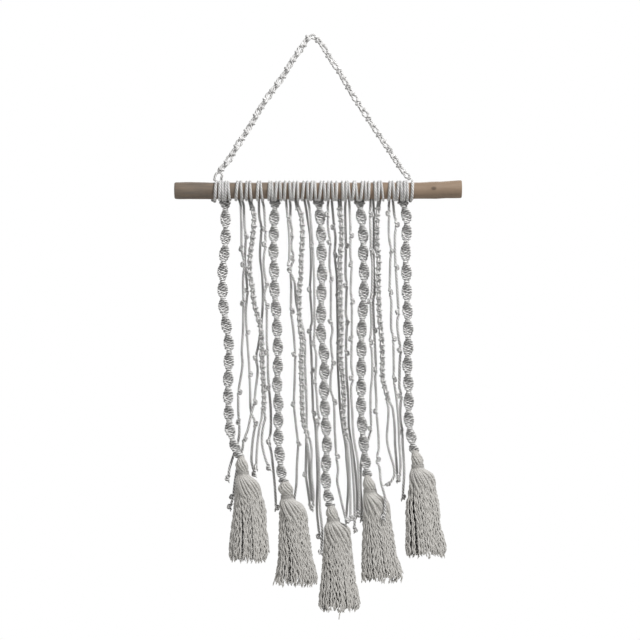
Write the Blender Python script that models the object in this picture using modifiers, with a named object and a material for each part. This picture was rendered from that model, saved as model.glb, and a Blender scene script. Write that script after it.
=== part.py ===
# Macrame wall hanging: a peeled stick, a knotted hanger, five half-knot spirals that end in
# tassels, and four groups of knotted cords between them, each cord set on with a lark's head.
#
# Metres, +Z up. The origin is the point where the hanger rests on its hook, the viewer stands
# at -Y and the wall is at +Y. The tables are in millimetres: drop is the distance below the
# hook, x runs to the viewer's right, and depth is y, larger towards the wall.

import math

import bmesh
import bpy

MM = 0.001
OBJECT_NAME = "macrame_wall_hanging"
GAP = 0.3
START_GAP = 0.5

# Stick
ROD_DROP = 233.3
ROD_BEVEL_RESOLUTION = 6
ROD_AT_CORDS = 12.7
ROD_PROFILE = [
    # x, drop of the axis, radius
    (-208.5, 233.0, 11.6),
    (-207.0, 233.0, 12.6),
    (-180.0, 233.2, 12.8),
    (-155.0, ROD_DROP, ROD_AT_CORDS),
    (0.0, ROD_DROP, 12.6),
    (158.0, ROD_DROP, ROD_AT_CORDS),
    (178.0, 232.7, 13.0),
    (189.0, 232.3, 13.5),
    (202.0, 231.9, 13.1),
    (229.0, 231.0, 13.5),
    (230.3, 231.0, 12.6),
]

# Lark's heads: every folded cord lies as two flattened turns round the stick
CORD_RADIUS = 2.1
TURN_HALF_WIDTH = 2.3
TURN_HEIGHT = 3.3
TURN_SHOULDER = 2.0
HEADING_STEPS = 12
HEADINGS = {
    # node: x of its first turn, x of its last turn
    "hanger_tie_left": (-147.8, -147.8),
    "heading_spiral_1": (-139.2, -125.5),
    "heading_a1": (-113.2, -106.3),
    "heading_b1": (-98.2, -92.3),
    "heading_c1": (-81.1, -75.6),
    "heading_spiral_2": (-63.5, -46.7),
    "heading_a2": (-39.8, -31.7),
    "heading_b2": (-26.2, -19.9),
    "heading_c2": (-11.9, -4.9),
    "heading_spiral_3": (1.1, 20.7),
    "heading_a3": (26.5, 33.0),
    "heading_b3": (39.0, 48.7),
    "heading_c3": (53.9, 58.1),
    "heading_spiral_4": (64.9, 83.2),
    "heading_a4": (88.2, 98.1),
    "heading_b4": (103.2, 108.6),
    "heading_c4": (120.0, 126.2),
    "heading_spiral_5": (132.3, 146.9),
    "hanger_tie_right": (152.4, 152.4),
}

# A route's first row with this drop starts just clear of the turns round the stick.
UNDER_ROD = 248.0

# Hanger: two cords knotted along their whole length, thick at each knot
HANGER = [
    # x, drop, radius
    (-147.3, 216.3, 3.0),
    (-146.2, 211.5, 3.0),
    (-141.0, 205.0, 4.6),
    (-134.0, 196.0, 3.4),
    (-128.0, 189.5, 4.9),
    (-121.5, 179.5, 3.6),
    (-115.5, 169.0, 4.9),
    (-109.0, 159.0, 3.4),
    (-102.5, 149.0, 4.8),
    (-96.0, 139.0, 3.6),
    (-89.0, 128.0, 5.0),
    (-82.0, 115.0, 3.5),
    (-75.0, 103.5, 5.0),
    (-68.0, 93.0, 3.5),
    (-60.5, 82.5, 4.8),
    (-52.0, 71.0, 3.6),
    (-43.5, 59.5, 5.0),
    (-35.0, 45.5, 3.5),
    (-26.5, 31.5, 4.9),
    (-19.0, 21.0, 3.5),
    (-12.5, 12.0, 4.8),
    (-6.5, 2.0, 3.8),
    (0.0, -3.7, 3.7),
    (7.0, 0.0, 3.8),
    (15.5, 7.5, 4.8),
    (22.0, 18.0, 3.5),
    (28.0, 28.5, 4.9),
    (36.5, 41.0, 3.5),
    (45.5, 54.0, 5.0),
    (53.0, 68.0, 3.6),
    (61.0, 81.5, 4.9),
    (68.0, 92.5, 3.5),
    (75.0, 103.5, 5.0),
    (81.5, 113.0, 3.4),
    (87.5, 122.5, 4.9),
    (94.5, 133.0, 3.6),
    (101.5, 144.0, 4.9),
    (110.0, 156.5, 3.5),
    (118.5, 169.0, 4.9),
    (126.5, 181.5, 3.6),
    (134.5, 194.0, 4.8),
    (141.5, 203.5, 3.5),
    (148.5, 211.5, 3.2),
    (151.8, 216.2, 3.0),
]

# Spirals: half-knot sinnets, flat in section and turned half round from each row to the next.
# The front edge runs down from the viewer's left to the right.
SPIRAL_HALF_WIDTH = 8.3
SPIRAL_HALF_THICKNESS = 4.2
SPIRAL_RINGS_PER_HALF_TURN = 4
SPIRAL_DEPTH = 8.5
SPIRAL_END_DEPTHS = [7.6, 6.4, 5.2]
SPIRAL_TOP_SHARE = 0.85
SPIRAL_NECK_SHARE = 0.65
SPIRAL_FOOT_SHARE = 0.55
SPIRAL_CORNERS = [(1, 0), (0.55, 1), (-0.55, 1), (-1, 0), (-0.55, -1), (0.55, -1)]
SPIRALS = {
    # node: (drop, x) where it faces the viewer; the first row is its start and the last its end
    "spiral_1": [
        (UNDER_ROD, -132), (277, -131), (304, -131), (330.5, -133), (357, -135.5), (386, -135.5),
        (411.5, -134), (440.5, -129.5), (467.5, -126), (495, -126), (522.5, -127), (549, -127),
        (575.5, -126), (600, -124), (626.5, -116), (641, -109),
    ],
    "spiral_2": [
        (UNDER_ROD, -55), (275.5, -56.5), (300.5, -57), (326.5, -57.5), (356.5, -56.5), (385.5, -56),
        (415.5, -53.5), (445, -52), (473.5, -51), (503.5, -51), (531, -52), (560, -50),
        (586, -50), (612, -50), (638, -48), (665.5, -45), (679.5, -41.5),
    ],
    "spiral_3": [
        (UNDER_ROD, 11), (274, 14), (301.5, 15.5), (329, 16), (362.5, 17), (390, 16), (424, 15.5),
        (453, 15.5), (483.5, 20), (511, 20.5), (540, 20), (567.5, 21.5), (596.5, 23),
        (624, 24.5), (652, 23), (678, 23), (704, 27), (716, 29.5),
    ],
    "spiral_4": [
        (UNDER_ROD, 74), (274, 77), (302, 80), (329.5, 80), (359, 81.5), (388, 81), (417, 79.5),
        (447.5, 77.5), (477.5, 77.5), (507, 77), (536.5, 77), (564, 77), (593, 78.5),
        (622.5, 81), (650, 84), (670, 86.5),
    ],
    "spiral_5": [
        (UNDER_ROD, 140), (272, 146.5), (299, 146.5), (329, 145), (360, 146.5), (389.5, 147),
        (418.5, 148), (446, 149), (475, 149), (502.5, 148), (529, 149.5), (558, 150),
        (585, 150), (611.5, 154), (632, 158.5),
    ],
}

# Tassels: gathered head, bound neck, then a skirt that opens more to the viewer's right
TASSEL_DEPTH = 3.0
TASSEL_SIDES = 16
TASSEL_FOLDS = 5
TASSEL_FOLD_SHARE = 0.05
TASSEL_MOST_HALF_DEPTH = 13.0
NECK_DEPTH_SHARE = 0.9
SKIRT_DEPTH_SHARE = 0.75
NECK_ROWS = 4
TASSELS = {
    # node: (drop, left edge, right edge); rows 2 and 3 are the top and bottom of the binding
    "tassel_1": [
        (642, -112.5, -101), (653, -115.5, -96.5), (662, -112.5, -96), (668, -112.5, -96),
        (679.5, -115, -84), (694.5, -116.5, -78), (719, -118, -69.5), (752.5, -122.5, -68),
        (783.5, -125.5, -65.5), (800, -124.5, -67),
    ],
    "tassel_2": [
        (681, -46.5, -32), (691.5, -49, -29), (699, -45, -26.5), (705, -45, -26.5),
        (713, -46.5, -16), (730, -48, -8), (760.5, -49, -2.5), (799, -50.5, 3),
        (829, -55, 10.5), (837, -54, 8),
    ],
    "tassel_3": [
        (717.5, 24, 38), (728, 23, 41), (734, 25, 43), (740, 25, 43),
        (748, 22, 55), (768, 20, 60.5), (791, 18.5, 63.5), (829, 15.5, 68.5),
        (864.5, 11.5, 75), (876, 13, 72),
    ],
    "tassel_4": [
        (671.5, 81, 92), (682.5, 79.5, 98), (690, 81, 99.5), (696, 81, 99.5),
        (707, 82, 114.5), (722, 80.5, 119), (751, 79.5, 125), (791, 78, 131),
        (824.5, 77.5, 140.5), (831, 79, 138),
    ],
    "tassel_5": [
        (633.5, 153, 166), (644, 154, 171.5), (652, 154.5, 172), (658, 154.5, 172),
        (668, 152.5, 184.5), (693, 150, 191.5), (717.5, 145.5, 196.5), (751, 145.5, 199),
        (776, 144.5, 206.5), (793, 145.5, 206),
    ],
}
BINDING_THICKNESS = 1.6
BINDING_INSET = 0.6
BINDING_CLEARANCE = 0.15

# Cords. A route is (drop, x, depth); knots are the drops of its overhand knots, the last one
# closing its end.
KNOT_RADIUS = 3.8
KNOT_HALF_LENGTH = 5.5
END_KNOT_SHARE = 0.75
LONGEST_STEP = 42.0
CORDS = {
    "cord_a1_left": {
        "route": [
            (UNDER_ROD, -108, 5), (286, -106.5, 4), (322, -106, 4), (346, -102.5, 4), (370, -104, 4),
            (405.5, -103.5, 4), (447, -104, 4), (480, -106, 5), (500, -105, 6), (541.5, -111, 8),
            (569, -111.5, 9), (598, -110, 12), (612, -111, 15.5), (626, -114.5, 16.5),
            (640, -119.5, 15), (661, -125.5, 10), (678, -127, 9),
        ],
        "knots": [322, 346, 405.5, 541.5, 588, 674],
    },
    "cord_a1_right": {
        "route": [
            (UNDER_ROD, -103.5, 12), (286, -102, 12.5), (303, -100.5, 12.5), (340, -101.5, 12.5),
            (386, -98, 12.5), (416, -100, 12.5), (450, -98.5, 12), (500, -95, 12), (539, -93.5, 12),
            (569, -92.5, 12), (590.5, -86.5, 12), (615, -89.5, 12), (646, -91.5, 11),
            (658, -89, 10), (672, -84.5, 10),
        ],
        "knots": [303, 385.5, 450, 514, 590.5, 667],
    },
    "cord_c1_left": {
        "route": [
            (UNDER_ROD, -80, 12), (271, -79.5, 12), (290.5, -76.5, 12), (332, -78.5, 12.5),
            (362.5, -75, 12.5), (398, -74, 14), (421, -75, 15.5), (447, -77.5, 15.5),
            (470, -81, 14), (489.5, -84, 12), (508, -82, 11), (538.5, -85, 8), (557, -87, 6),
            (577, -92, 5), (600, -97, 5), (616.5, -103, 9.5), (630, -105.5, 17.3), (645, -110.5, 18.1),
            (661, -114, 16.6), (676, -116.5, 15), (699, -119.5, 13), (722, -124.5, 12),
        ],
        "knots": [290.5, 489.5, 557, 614, 703, 718],
    },
    "cord_c1_right": {
        "route": [
            (UNDER_ROD, -73.5, 5), (271, -71, 5), (315, -70, 5), (343, -72.5, 5), (376.5, -69, 5),
            (396, -71.5, 5), (410, -68, 5), (462, -67.5, 4), (490, -66, 6), (510, -66, 9.5),
            (535.5, -64.5, 12),
            (569, -62, 14), (600, -62, 14), (618, -64, 12), (638, -60.5, 13), (676, -56.5, 12),
            (694.5, -55, 11), (723.5, -53.5, 10),
        ],
        "knots": [292, 315, 376.5, 410, 480.5, 535.5, 618, 719],
    },
    "cord_a2_left": {
        "route": [
            (UNDER_ROD, -38.5, 5), (275.5, -35.5, 4), (309, -33, 4), (342, -33.5, 2.1), (352, -34.5, 2.0),
            (363, -29, 3.5), (374, -25, 6), (389, -24, 12.5), (402, -23, 15), (425, -18, 16),
            (443, -12.5, 15), (465, -9.5, 13.5), (500, -9, 13.5), (535, -7.5, 13), (569, -6.5, 13),
            (600, -7, 14), (630, -7.5, 13), (668, -8, 12), (691.5, -5, 12.5), (722, -0.5, 13),
        ],
        "knots": [275.5, 350, 465, 535, 668, 718],
    },
    "cord_a2_right": {
        "route": [
            (UNDER_ROD, -31.5, 12), (278, -31.5, 12), (300, -29, 12), (317, -30.5, 12), (335.5, -27.5, 12),
            (352, -31, 12), (378, -30.5, 12), (417.5, -30.5, 11), (447, -27, 10), (483.5, -24.5, 8),
            (523, -25, 8), (560, -26, 8), (592, -23, 8), (621, -20, 8), (653, -21.5, 9),
            (684, -22.5, 15), (699, -24.5, 19), (716, -27, 19),
        ],
        "knots": [300, 335.5, 417.5, 483.5, 560, 621, 712],
    },
    "cord_c2_left": {
        "route": [
            (UNDER_ROD, -9.5, 12.5), (271, -6, 12.5), (301.5, -1.5, 12.5), (347, 0, 12.5),
            (384, -1.5, 12.5), (431, 1.5, 12.5), (448.5, -1, 12.5), (485, 0.5, 12.5),
            (535, 2, 12.5), (575, 3.5, 12.5), (592, 6.5, 12.5), (615, 8, 12.5), (676, 10, 12),
            (707, 9, 12), (730, 9.5, 12), (767, 13.5, 12),
        ],
        "knots": [384, 448.5, 508, 575, 763],
    },
    "cord_c2_right": {
        "route": [
            (UNDER_ROD, -4, 5.5), (271, -1, 5), (309, 2, 5), (355, 4.5, 5), (400, 5.5, 4), (425, 5.5, 3),
            (440, 6, 3.5), (466.5, 5, 5), (485, 8, 5), (525.5, 7, 5), (546, 9, 5), (566, 10, 5),
            (586, 12, 5), (600, 9, 5), (646, 12, 5), (699, 13, 5), (722, 14, 5), (753, 17, 4),
            (790, 15.5, 3),
        ],
        "knots": [317, 466.5, 525.5, 586, 786],
    },
    "cord_a3_left": {
        "route": [
            (UNDER_ROD, 25.5, 4), (269, 26, 3), (286, 26, 4), (312, 29, 4), (347, 28.5, 4),
            (368, 30.5, 4), (416, 30.5, 4), (433, 31, 4), (447, 33, 4), (462, 30.5, 4),
            (497, 33, 4), (516, 30.5, 4), (538.5, 30.5, 4), (557, 35, 4), (600, 36.5, 4),
            (640, 39, 4), (661, 41.5, 2), (676, 40, 0), (699, 44.5, -3), (718, 49, -6),
            (742, 55, -8),
        ],
        "knots": [269, 312, 368, 433, 497, 557, 640, 738],
    },
    "cord_a3_right": {
        "route": [
            (UNDER_ROD, 32, 13), (266, 33.5, 13), (288, 35.5, 13.5), (304, 37.5, 13.5), (332, 36.5, 13.5),
            (362.5, 39.5, 14), (396, 40, 14), (450, 41, 14), (494, 41, 14), (539, 43, 14),
            (570, 45, 14), (600, 49, 14), (623, 53, 14), (646, 54.5, 13), (676, 57, 12),
            (700, 56.5, 12), (722, 55, 14), (742, 53.5, 17),
        ],
        "knots": [288, 332, 396, 470, 738],
    },
    "cord_c3_left": {
        "route": [
            (UNDER_ROD, 52.5, 12.5), (271, 52.5, 13), (317, 53.5, 13), (362.5, 53, 13), (378, 54.5, 13),
            (424, 53.5, 13), (434.5, 55, 13), (462, 54, 13), (500, 54, 13), (523, 55, 13),
            (554, 57.5, 13), (592, 58, 13), (607, 60, 12.5), (646, 66, 12), (676, 69.5, 12),
            (707, 71, 12), (734, 70.5, 12),
        ],
        "knots": [317, 378, 434.5, 482, 730],
    },
    "cord_c3_right": {
        "route": [
            (UNDER_ROD, 58.5, 5.5), (286, 60.5, 5), (301.5, 60.5, 5), (337, 60.5, 5), (346, 62, 5),
            (386, 61, 5), (402.5, 62.5, 5), (460, 62.5, 5), (500, 62, 5), (520, 63.5, 5),
            (535.5, 61.5, 5), (577, 63.5, 5), (600, 64.5, 5), (623, 67.5, 5), (646, 71.5, 4),
            (676, 73.5, 4), (707, 74, 4), (731, 73, 3),
        ],
        "knots": [301.5, 346, 402.5, 460, 520, 727],
    },
    "cord_a4_left": {
        "route": [
            (UNDER_ROD, 91.5, 4.5), (269.5, 90.5, 3.5), (301.5, 91.5, 3), (326, 92, 2.5), (343, 94, 4),
            (384, 93.5, 4), (402.5, 91.5, 4), (439, 92.5, 4), (465, 91, 4), (477, 93, 4),
            (512, 94, 4), (542, 91.5, 5), (569, 91.5, 8), (595, 92, 12), (612, 89, 16.5),
            (624, 84, 18), (640, 79, 17), (655, 76.5, 14), (691, 76, 13), (707, 77.5, 13),
            (722, 78, 14), (740, 77, 15),
        ],
        "knots": [269.5, 326, 402.5, 465, 597, 736],
    },
    "cord_a4_right": {
        "route": [
            (UNDER_ROD, 96, 12), (294, 96.5, 12.5), (343, 96, 12.5), (387, 97.5, 12.5), (401, 95.5, 12.5),
            (447, 97, 12.5), (477, 98.5, 12.5), (507, 99.5, 12.5), (519, 98.5, 12.5),
            (554, 100.5, 12), (571, 100.5, 10), (607, 103.5, 8), (636, 103.5, 4), (644, 101.5, 2),
            (658, 105, -2), (676, 106.5, -7), (688.5, 109.5, -10), (702, 113, -11),
            (719, 112.5, -12), (735, 111.5, -13),
        ],
        "knots": [387, 447, 507, 571, 644, 731],
    },
    "cord_c4_left": {
        "route": [
            (UNDER_ROD, 119, 5), (268, 119.5, 5), (301.5, 119.5, 5), (325, 122.5, 5), (343, 121.5, 5),
            (388.5, 121, 5), (401, 123, 5), (443.5, 123, 5), (460, 126, 5), (512, 127, 5),
            (522, 127, 5), (551, 131, 5), (584, 134, 5), (623, 135.5, 5), (646, 137, 5),
            (661, 137, 6), (676, 135, 6),
        ],
        "knots": [268, 325, 388.5, 460, 522, 672],
    },
    "cord_c4_right": {
        "route": [
            (UNDER_ROD, 126, 12), (266, 127.5, 12), (284.5, 130.5, 12), (301.5, 129, 12), (340, 129.5, 12),
            (370, 131.5, 12), (419, 134, 12), (434.5, 132.5, 12), (454, 134, 12), (477, 137, 13),
            (505, 136, 13), (538.5, 136, 13), (547, 138, 13), (578, 137, 13), (603, 140, 13),
            (627, 141, 12), (646, 142.5, 12), (669, 143, 12), (691.5, 141.5, 12), (707, 141, 12),
        ],
        "knots": [284.5, 350.5, 419, 477, 547, 603, 703],
    },
}

# Chains: two cords in alternating half hitches, then one of the two hangs on below the chain
# and the other, its own piece, leaves beside it.
CHAIN_RADIUS = 4.7
CHAIN_TAPER = 6.0
CHAINS = {
    "chain_b1": {
        "end": 575,
        "route": [
            (UNDER_ROD, -95.5, 8), (260, -90, 6.5), (271, -87, 6), (306, -89.5, 6), (330, -93, 6),
            (358, -94, 6), (380, -90, 6), (405.5, -87, 6), (424, -82, 6), (447, -76.5, 6),
            (490, -75, 6), (515.5, -73.5, 5.5), (546, -72, 5), (566, -72.5, 5), (577, -74.5, 5),
            (597, -79, 5), (627, -82.5, 4), (660, -84, 3),
        ],
        "knots": [656],
    },
    "chain_b2": {
        "end": 606,
        "route": [
            (UNDER_ROD, -23, 8), (259, -20.5, 6.5), (268, -15.5, 6), (300, -13, 6), (336, -15, 6),
            (364, -15.5, 6), (386, -18, 6), (416, -18, 6), (440, -17, 6), (467, -13.5, 6),
            (485, -15, 6), (536, -14, 6), (559, -13.5, 6), (584, -12, 6), (600, -8, 6),
            (612, -2.5, 6), (630, 1, 5), (653, 0.5, 4), (676, 1.5, 4), (699, 4, 4), (722, 2.5, 4),
        ],
        "knots": [718],
    },
    "chain_b3": {
        "end": 612,
        "route": [
            (UNDER_ROD, 44, 8), (266, 44.5, 6), (286, 46.5, 6), (314, 46.5, 6), (343, 44, 6), (370, 45, 6),
            (411, 45, 6), (442, 46.5, 6), (485, 45, 6), (511, 47.5, 6), (535.5, 50, 5.5),
            (561.5, 50.5, 5.5), (574, 49, 5.5), (604, 53, 5.5), (616, 55, 5), (646, 58, 4),
            (676, 59.5, 4), (707, 60.5, 4), (738, 60.5, 3),
        ],
        "knots": [734],
    },
    "chain_b4": {
        "end": 558,
        "route": [
            (UNDER_ROD, 104, 8), (263, 102.5, 6), (300, 101, 6), (327.5, 102.5, 6), (341, 104, 6),
            (355, 103, 6), (401, 104, 6), (431.5, 105.5, 6), (457.5, 108, 6), (486.5, 109.5, 6),
            (517, 109.5, 6), (532.5, 112.5, 6), (548, 117, 6), (562, 118.5, 6), (581, 118.5, 6),
            (609, 116.5, 6), (624, 118, 6), (641, 122.5, 6), (656, 127, 6), (669, 127.5, 6),
            (677, 124, 6), (684, 115.5, 6),
        ],
        "knots": [682],
    },
    "chain_tail_b1": {
        "route": [
            (571, -66.5, 6), (581, -70, 8), (603, -74.5, 9), (620, -75, 9), (638, -71.5, 7),
            (650, -67.5, 6), (661, -62, 5),
        ],
        "knots": [657],
    },
    "chain_tail_b2": {
        "route": [
            (615, -7, 6.5), (630, -4.5, 8), (650, -3.5, 8), (676, -2, 8), (699, 0, 8),
            (708, 1, 8),
        ],
        "knots": [],
    },
    "chain_tail_b3": {
        "route": [
            (618, 60, 7), (630, 61.5, 8), (646, 63, 7), (676, 65, 5), (707, 66.5, 4), (735, 67, 3),
            (756, 66.5, 3),
        ],
        "knots": [752],
    },
    "chain_tail_b4": {
        "route": [
            (562, 124.5, 6), (580, 127, 8), (600, 128.5, 10), (623, 129, 11), (646, 131, 12),
            (668.5, 132.5, 14), (680, 133, 14),
        ],
        "knots": [676],
    },
}

COTTON_COLOUR = (0.71, 0.69, 0.66)
YARN_COLOUR = (0.66, 0.63, 0.58)
WOOD_COLOUR = (0.36, 0.27, 0.18)


def clear_scene():
    for item in list(bpy.data.objects):
        bpy.data.objects.remove(item, do_unlink=True)


def make_collection():
    collection = bpy.data.collections.new(OBJECT_NAME)
    bpy.context.scene.collection.children.link(collection)
    return collection


def make_material(name, colour, roughness):
    material = bpy.data.materials.new(name)
    material.use_nodes = True
    shader = material.node_tree.nodes["Principled BSDF"]
    shader.inputs["Base Color"].default_value = (*colour, 1.0)
    shader.inputs["Roughness"].default_value = roughness
    shader.inputs["Metallic"].default_value = 0.0
    return material


def add_object(name, data, material):
    piece = bpy.data.objects.new(name, data)
    data.materials.append(material)
    bpy.data.collections[OBJECT_NAME].objects.link(piece)
    return piece


def place(x, depth, drop):
    """A point in metres from its place on the hanging in millimetres."""
    return (x * MM, depth * MM, -drop * MM)


def curve_through(rows):
    """A smooth function through rows whose first number always rises."""
    marks = [row[0] for row in rows]
    slopes = []
    for i in range(len(rows)):
        before = rows[max(i - 1, 0)]
        after = rows[min(i + 1, len(rows) - 1)]
        span = after[0] - before[0]
        slopes.append([(b - a) / span for a, b in zip(before[1:], after[1:])])

    def at(mark):
        i = max(j for j in range(len(rows) - 1) if j == 0 or marks[j] <= mark)
        span = marks[i + 1] - marks[i]
        t = (mark - marks[i]) / span
        weights = (2 * t**3 - 3 * t**2 + 1, t**3 - 2 * t**2 + t, 3 * t**2 - 2 * t**3, t**3 - t**2)
        return [
            weights[0] * a + weights[1] * span * sa + weights[2] * b + weights[3] * span * sb
            for a, sa, b, sb in zip(rows[i][1:], slopes[i], rows[i + 1][1:], slopes[i + 1])
        ]

    return at


def loft(name, rings, material):
    """Skin over rings that run downwards, each counter-clockwise from above, closed at both ends."""
    shape = bmesh.new()
    loops = [[shape.verts.new(point) for point in ring] for ring in rings]
    count = len(loops[0])
    for upper, lower in zip(loops, loops[1:]):
        for i in range(count):
            j = (i + 1) % count
            shape.faces.new((upper[i], lower[i], lower[j], upper[j]))
    shape.faces.new(loops[0])
    shape.faces.new(reversed(loops[-1]))
    mesh = bpy.data.meshes.new(name)
    shape.to_mesh(mesh)
    shape.free()
    mesh.shade_smooth()
    return add_object(name, mesh, material)


def tube(name, rows, material, bevel_resolution=2):
    """A round tube through rows of (point, radius in millimetres)."""
    data = bpy.data.curves.new(name, "CURVE")
    data.dimensions = "3D"
    data.bevel_depth = MM
    data.bevel_resolution = bevel_resolution
    data.use_fill_caps = True
    spline = data.splines.new("POLY")
    spline.points.add(len(rows) - 1)
    for point, (position, radius) in zip(spline.points, rows):
        point.co = (*position, 1.0)
        point.radius = radius
    return add_object(name, data, material)


def turned(name, profile, steps, material):
    """A ring turned about its own Z from (radius, height) points that run down its outer side."""
    mesh = bpy.data.meshes.new(name)
    points = [(radius * MM, 0.0, height * MM) for radius, height in profile]
    edges = [(i, (i + 1) % len(points)) for i in range(len(points))]
    mesh.from_pydata(points, edges, [])
    ring = add_object(name, mesh, material)
    screw = ring.modifiers.new("turn", "SCREW")
    screw.axis = "Z"
    screw.angle = math.tau
    screw.steps = steps
    screw.render_steps = steps
    screw.use_merge_vertices = True
    screw.merge_threshold = 1e-5
    screw.use_smooth_shade = True
    return ring


def make_rod(material):
    rows = [(place(x, 0.0, drop), radius) for x, drop, radius in ROD_PROFILE]
    tube("rod", rows, material, ROD_BEVEL_RESOLUTION)


def make_heading(name, first, last, material):
    """The turns of one or two folded cords, as a band round the stick."""
    inner = (ROD_AT_CORDS + GAP) / math.cos(math.pi / HEADING_STEPS)
    outer = ROD_AT_CORDS + GAP + TURN_HEIGHT
    half = (last - first) / 2 + TURN_HALF_WIDTH
    crown = half - TURN_HALF_WIDTH / 2
    profile = [
        (inner, half), (outer - TURN_SHOULDER, half), (outer, crown),
        (outer, -crown), (outer - TURN_SHOULDER, -half), (inner, -half),
    ]
    band = turned(name, profile, HEADING_STEPS, material)
    band.location = place((first + last) / 2, 0.0, ROD_DROP)
    band.rotation_euler = (0.0, math.pi / 2, 0.0)


def make_hanger(material):
    tube("hanger", [(place(x, 0.0, drop), radius) for x, drop, radius in HANGER], material)


def under_heading(depth, radius):
    """The drop at which a piece this thick starts, just clear of the turns round the stick."""
    nearest = max(depth - radius, 0.0)
    outer = ROD_AT_CORDS + GAP + TURN_HEIGHT
    return ROD_DROP + math.sqrt(outer**2 - nearest**2) + START_GAP


def spiral_section(x, depth, drop, angle, share):
    """A flat hexagon, turned by angle, listed counter-clockwise from above."""
    corners = []
    for along, across in SPIRAL_CORNERS:
        u = along * SPIRAL_HALF_WIDTH * share
        v = across * SPIRAL_HALF_THICKNESS * share
        corners.append(
            place(
                x + u * math.cos(angle) - v * math.sin(angle),
                depth + u * math.sin(angle) + v * math.cos(angle),
                drop,
            )
        )
    return corners


def make_spiral(name, rows, material):
    last = len(rows) - 1
    top = under_heading(SPIRAL_DEPTH, SPIRAL_HALF_THICKNESS)
    rows = [(top, rows[0][1])] + rows[1:]
    depths = [SPIRAL_DEPTH] * (len(rows) - len(SPIRAL_END_DEPTHS)) + SPIRAL_END_DEPTHS
    at = curve_through([(i, *row, depth) for i, (row, depth) in enumerate(zip(rows, depths))])
    shares = curve_through(
        [
            (0, SPIRAL_TOP_SHARE), (0.5, SPIRAL_NECK_SHARE), (1, 1.0),
            (last - 1, 1.0), (last, SPIRAL_FOOT_SHARE),
        ]
    )
    rings = []
    for step in range(last * SPIRAL_RINGS_PER_HALF_TURN + 1):
        turn = step / SPIRAL_RINGS_PER_HALF_TURN
        drop, x, depth = at(turn)
        rings.append(spiral_section(x, depth, drop, math.pi * (turn - 1), shares(turn)[0]))
    loft(name, rings, material)


def tassel_half_depth(row, half_width):
    share = NECK_DEPTH_SHARE if row < NECK_ROWS else SKIRT_DEPTH_SHARE
    return min(half_width * share, TASSEL_MOST_HALF_DEPTH)


def make_tassel(name, rows, material):
    rings = []
    for row, (drop, left, right) in enumerate(rows):
        half_width = (right - left) / 2
        half_depth = tassel_half_depth(row, half_width)
        fold = TASSEL_FOLD_SHARE if row > NECK_ROWS else 0.0
        ring = []
        for side in range(TASSEL_SIDES):
            angle = math.tau * side / TASSEL_SIDES
            swell = 1 - fold + fold * math.cos(TASSEL_FOLDS * angle)
            x = (left + right) / 2 + half_width * swell * math.cos(angle)
            ring.append(place(x, TASSEL_DEPTH + half_depth * swell * math.sin(angle), drop))
        rings.append(ring)
    loft(name, rings, material)


def make_binding(name, top, bottom, material):
    """The tie round a tassel's neck, between the two rows that give the neck."""
    drop, left, right = top
    half_width = (right - left) / 2
    half_height = (bottom[0] - drop) / 2 - BINDING_INSET
    inner = half_width + GAP / math.cos(math.pi / TASSEL_SIDES) + BINDING_CLEARANCE
    outer = inner + BINDING_THICKNESS
    profile = [
        (inner, half_height), (outer, half_height / 2), (outer, -half_height / 2), (inner, -half_height),
    ]
    band = turned(name, profile, TASSEL_SIDES, material)
    band.location = place((left + right) / 2, TASSEL_DEPTH, (drop + bottom[0]) / 2)
    band.scale = (1.0, tassel_half_depth(2, half_width) / half_width, 1.0)


def cord_rows(route, knots, thick_until=None):
    """Points along a cord, closer together at its knots, with the radius at each."""
    if route[0][0] == UNDER_ROD:
        _, x, depth = route[0]
        route = [(under_heading(depth, CORD_RADIUS), x, depth)] + route[1:]
    first, last = route[0][0], route[-1][0]
    end_knot = [knot for knot in knots if last - knot < KNOT_HALF_LENGTH]
    marks = {first, last}
    for knot in knots:
        marks |= {knot - KNOT_HALF_LENGTH, knot}
        if knot not in end_knot:
            marks.add(knot + KNOT_HALF_LENGTH)
    if thick_until:
        marks |= {first + CHAIN_TAPER, thick_until, thick_until + CHAIN_TAPER}
    drops = sorted(marks)
    longest = LONGEST_STEP / 2 if thick_until else LONGEST_STEP
    filled = []
    for upper, lower in zip(drops, drops[1:]):
        parts = max(1, math.ceil((lower - upper) / longest))
        filled += [upper + (lower - upper) * i / parts for i in range(parts)]
    filled.append(last)
    at = curve_through(route)
    rows = []
    for drop in filled:
        x, depth = at(drop)
        radius = CORD_RADIUS
        if drop in knots:
            radius = KNOT_RADIUS
        elif drop == last and end_knot:
            radius = KNOT_RADIUS * END_KNOT_SHARE
        elif thick_until and first + CHAIN_TAPER <= drop <= thick_until:
            radius = CHAIN_RADIUS
        rows.append((place(x, depth, drop), radius))
    return rows


def main():
    clear_scene()
    make_collection()
    cotton = make_material("cotton_cord", COTTON_COLOUR, 0.9)
    yarn = make_material("cotton_yarn", YARN_COLOUR, 0.95)
    wood = make_material("peeled_wood", WOOD_COLOUR, 0.7)
    make_rod(wood)
    make_hanger(cotton)
    for name, (first, last) in HEADINGS.items():
        make_heading(name, first, last, cotton)
    for name, rows in SPIRALS.items():
        make_spiral(name, rows, cotton)
    for name, cord in (CORDS | CHAINS).items():
        tube(name, cord_rows(cord["route"], cord["knots"], cord.get("end")), cotton)
    for name, rows in TASSELS.items():
        make_tassel(name, rows, yarn)
        make_binding(name.replace("tassel", "binding"), rows[2], rows[3], yarn)


main()
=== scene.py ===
# Macrame wall hanging: the looks. A peeled stick, a hanger of knotted cord, five half-knot
# spirals with tassels, and four groups of knotted cords between them.
# The tables are in millimetres: drop is measured down from the hook, x to the viewer's right
# and depth towards the wall. Everything is turned to metres where its mesh is made.

import math

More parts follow.
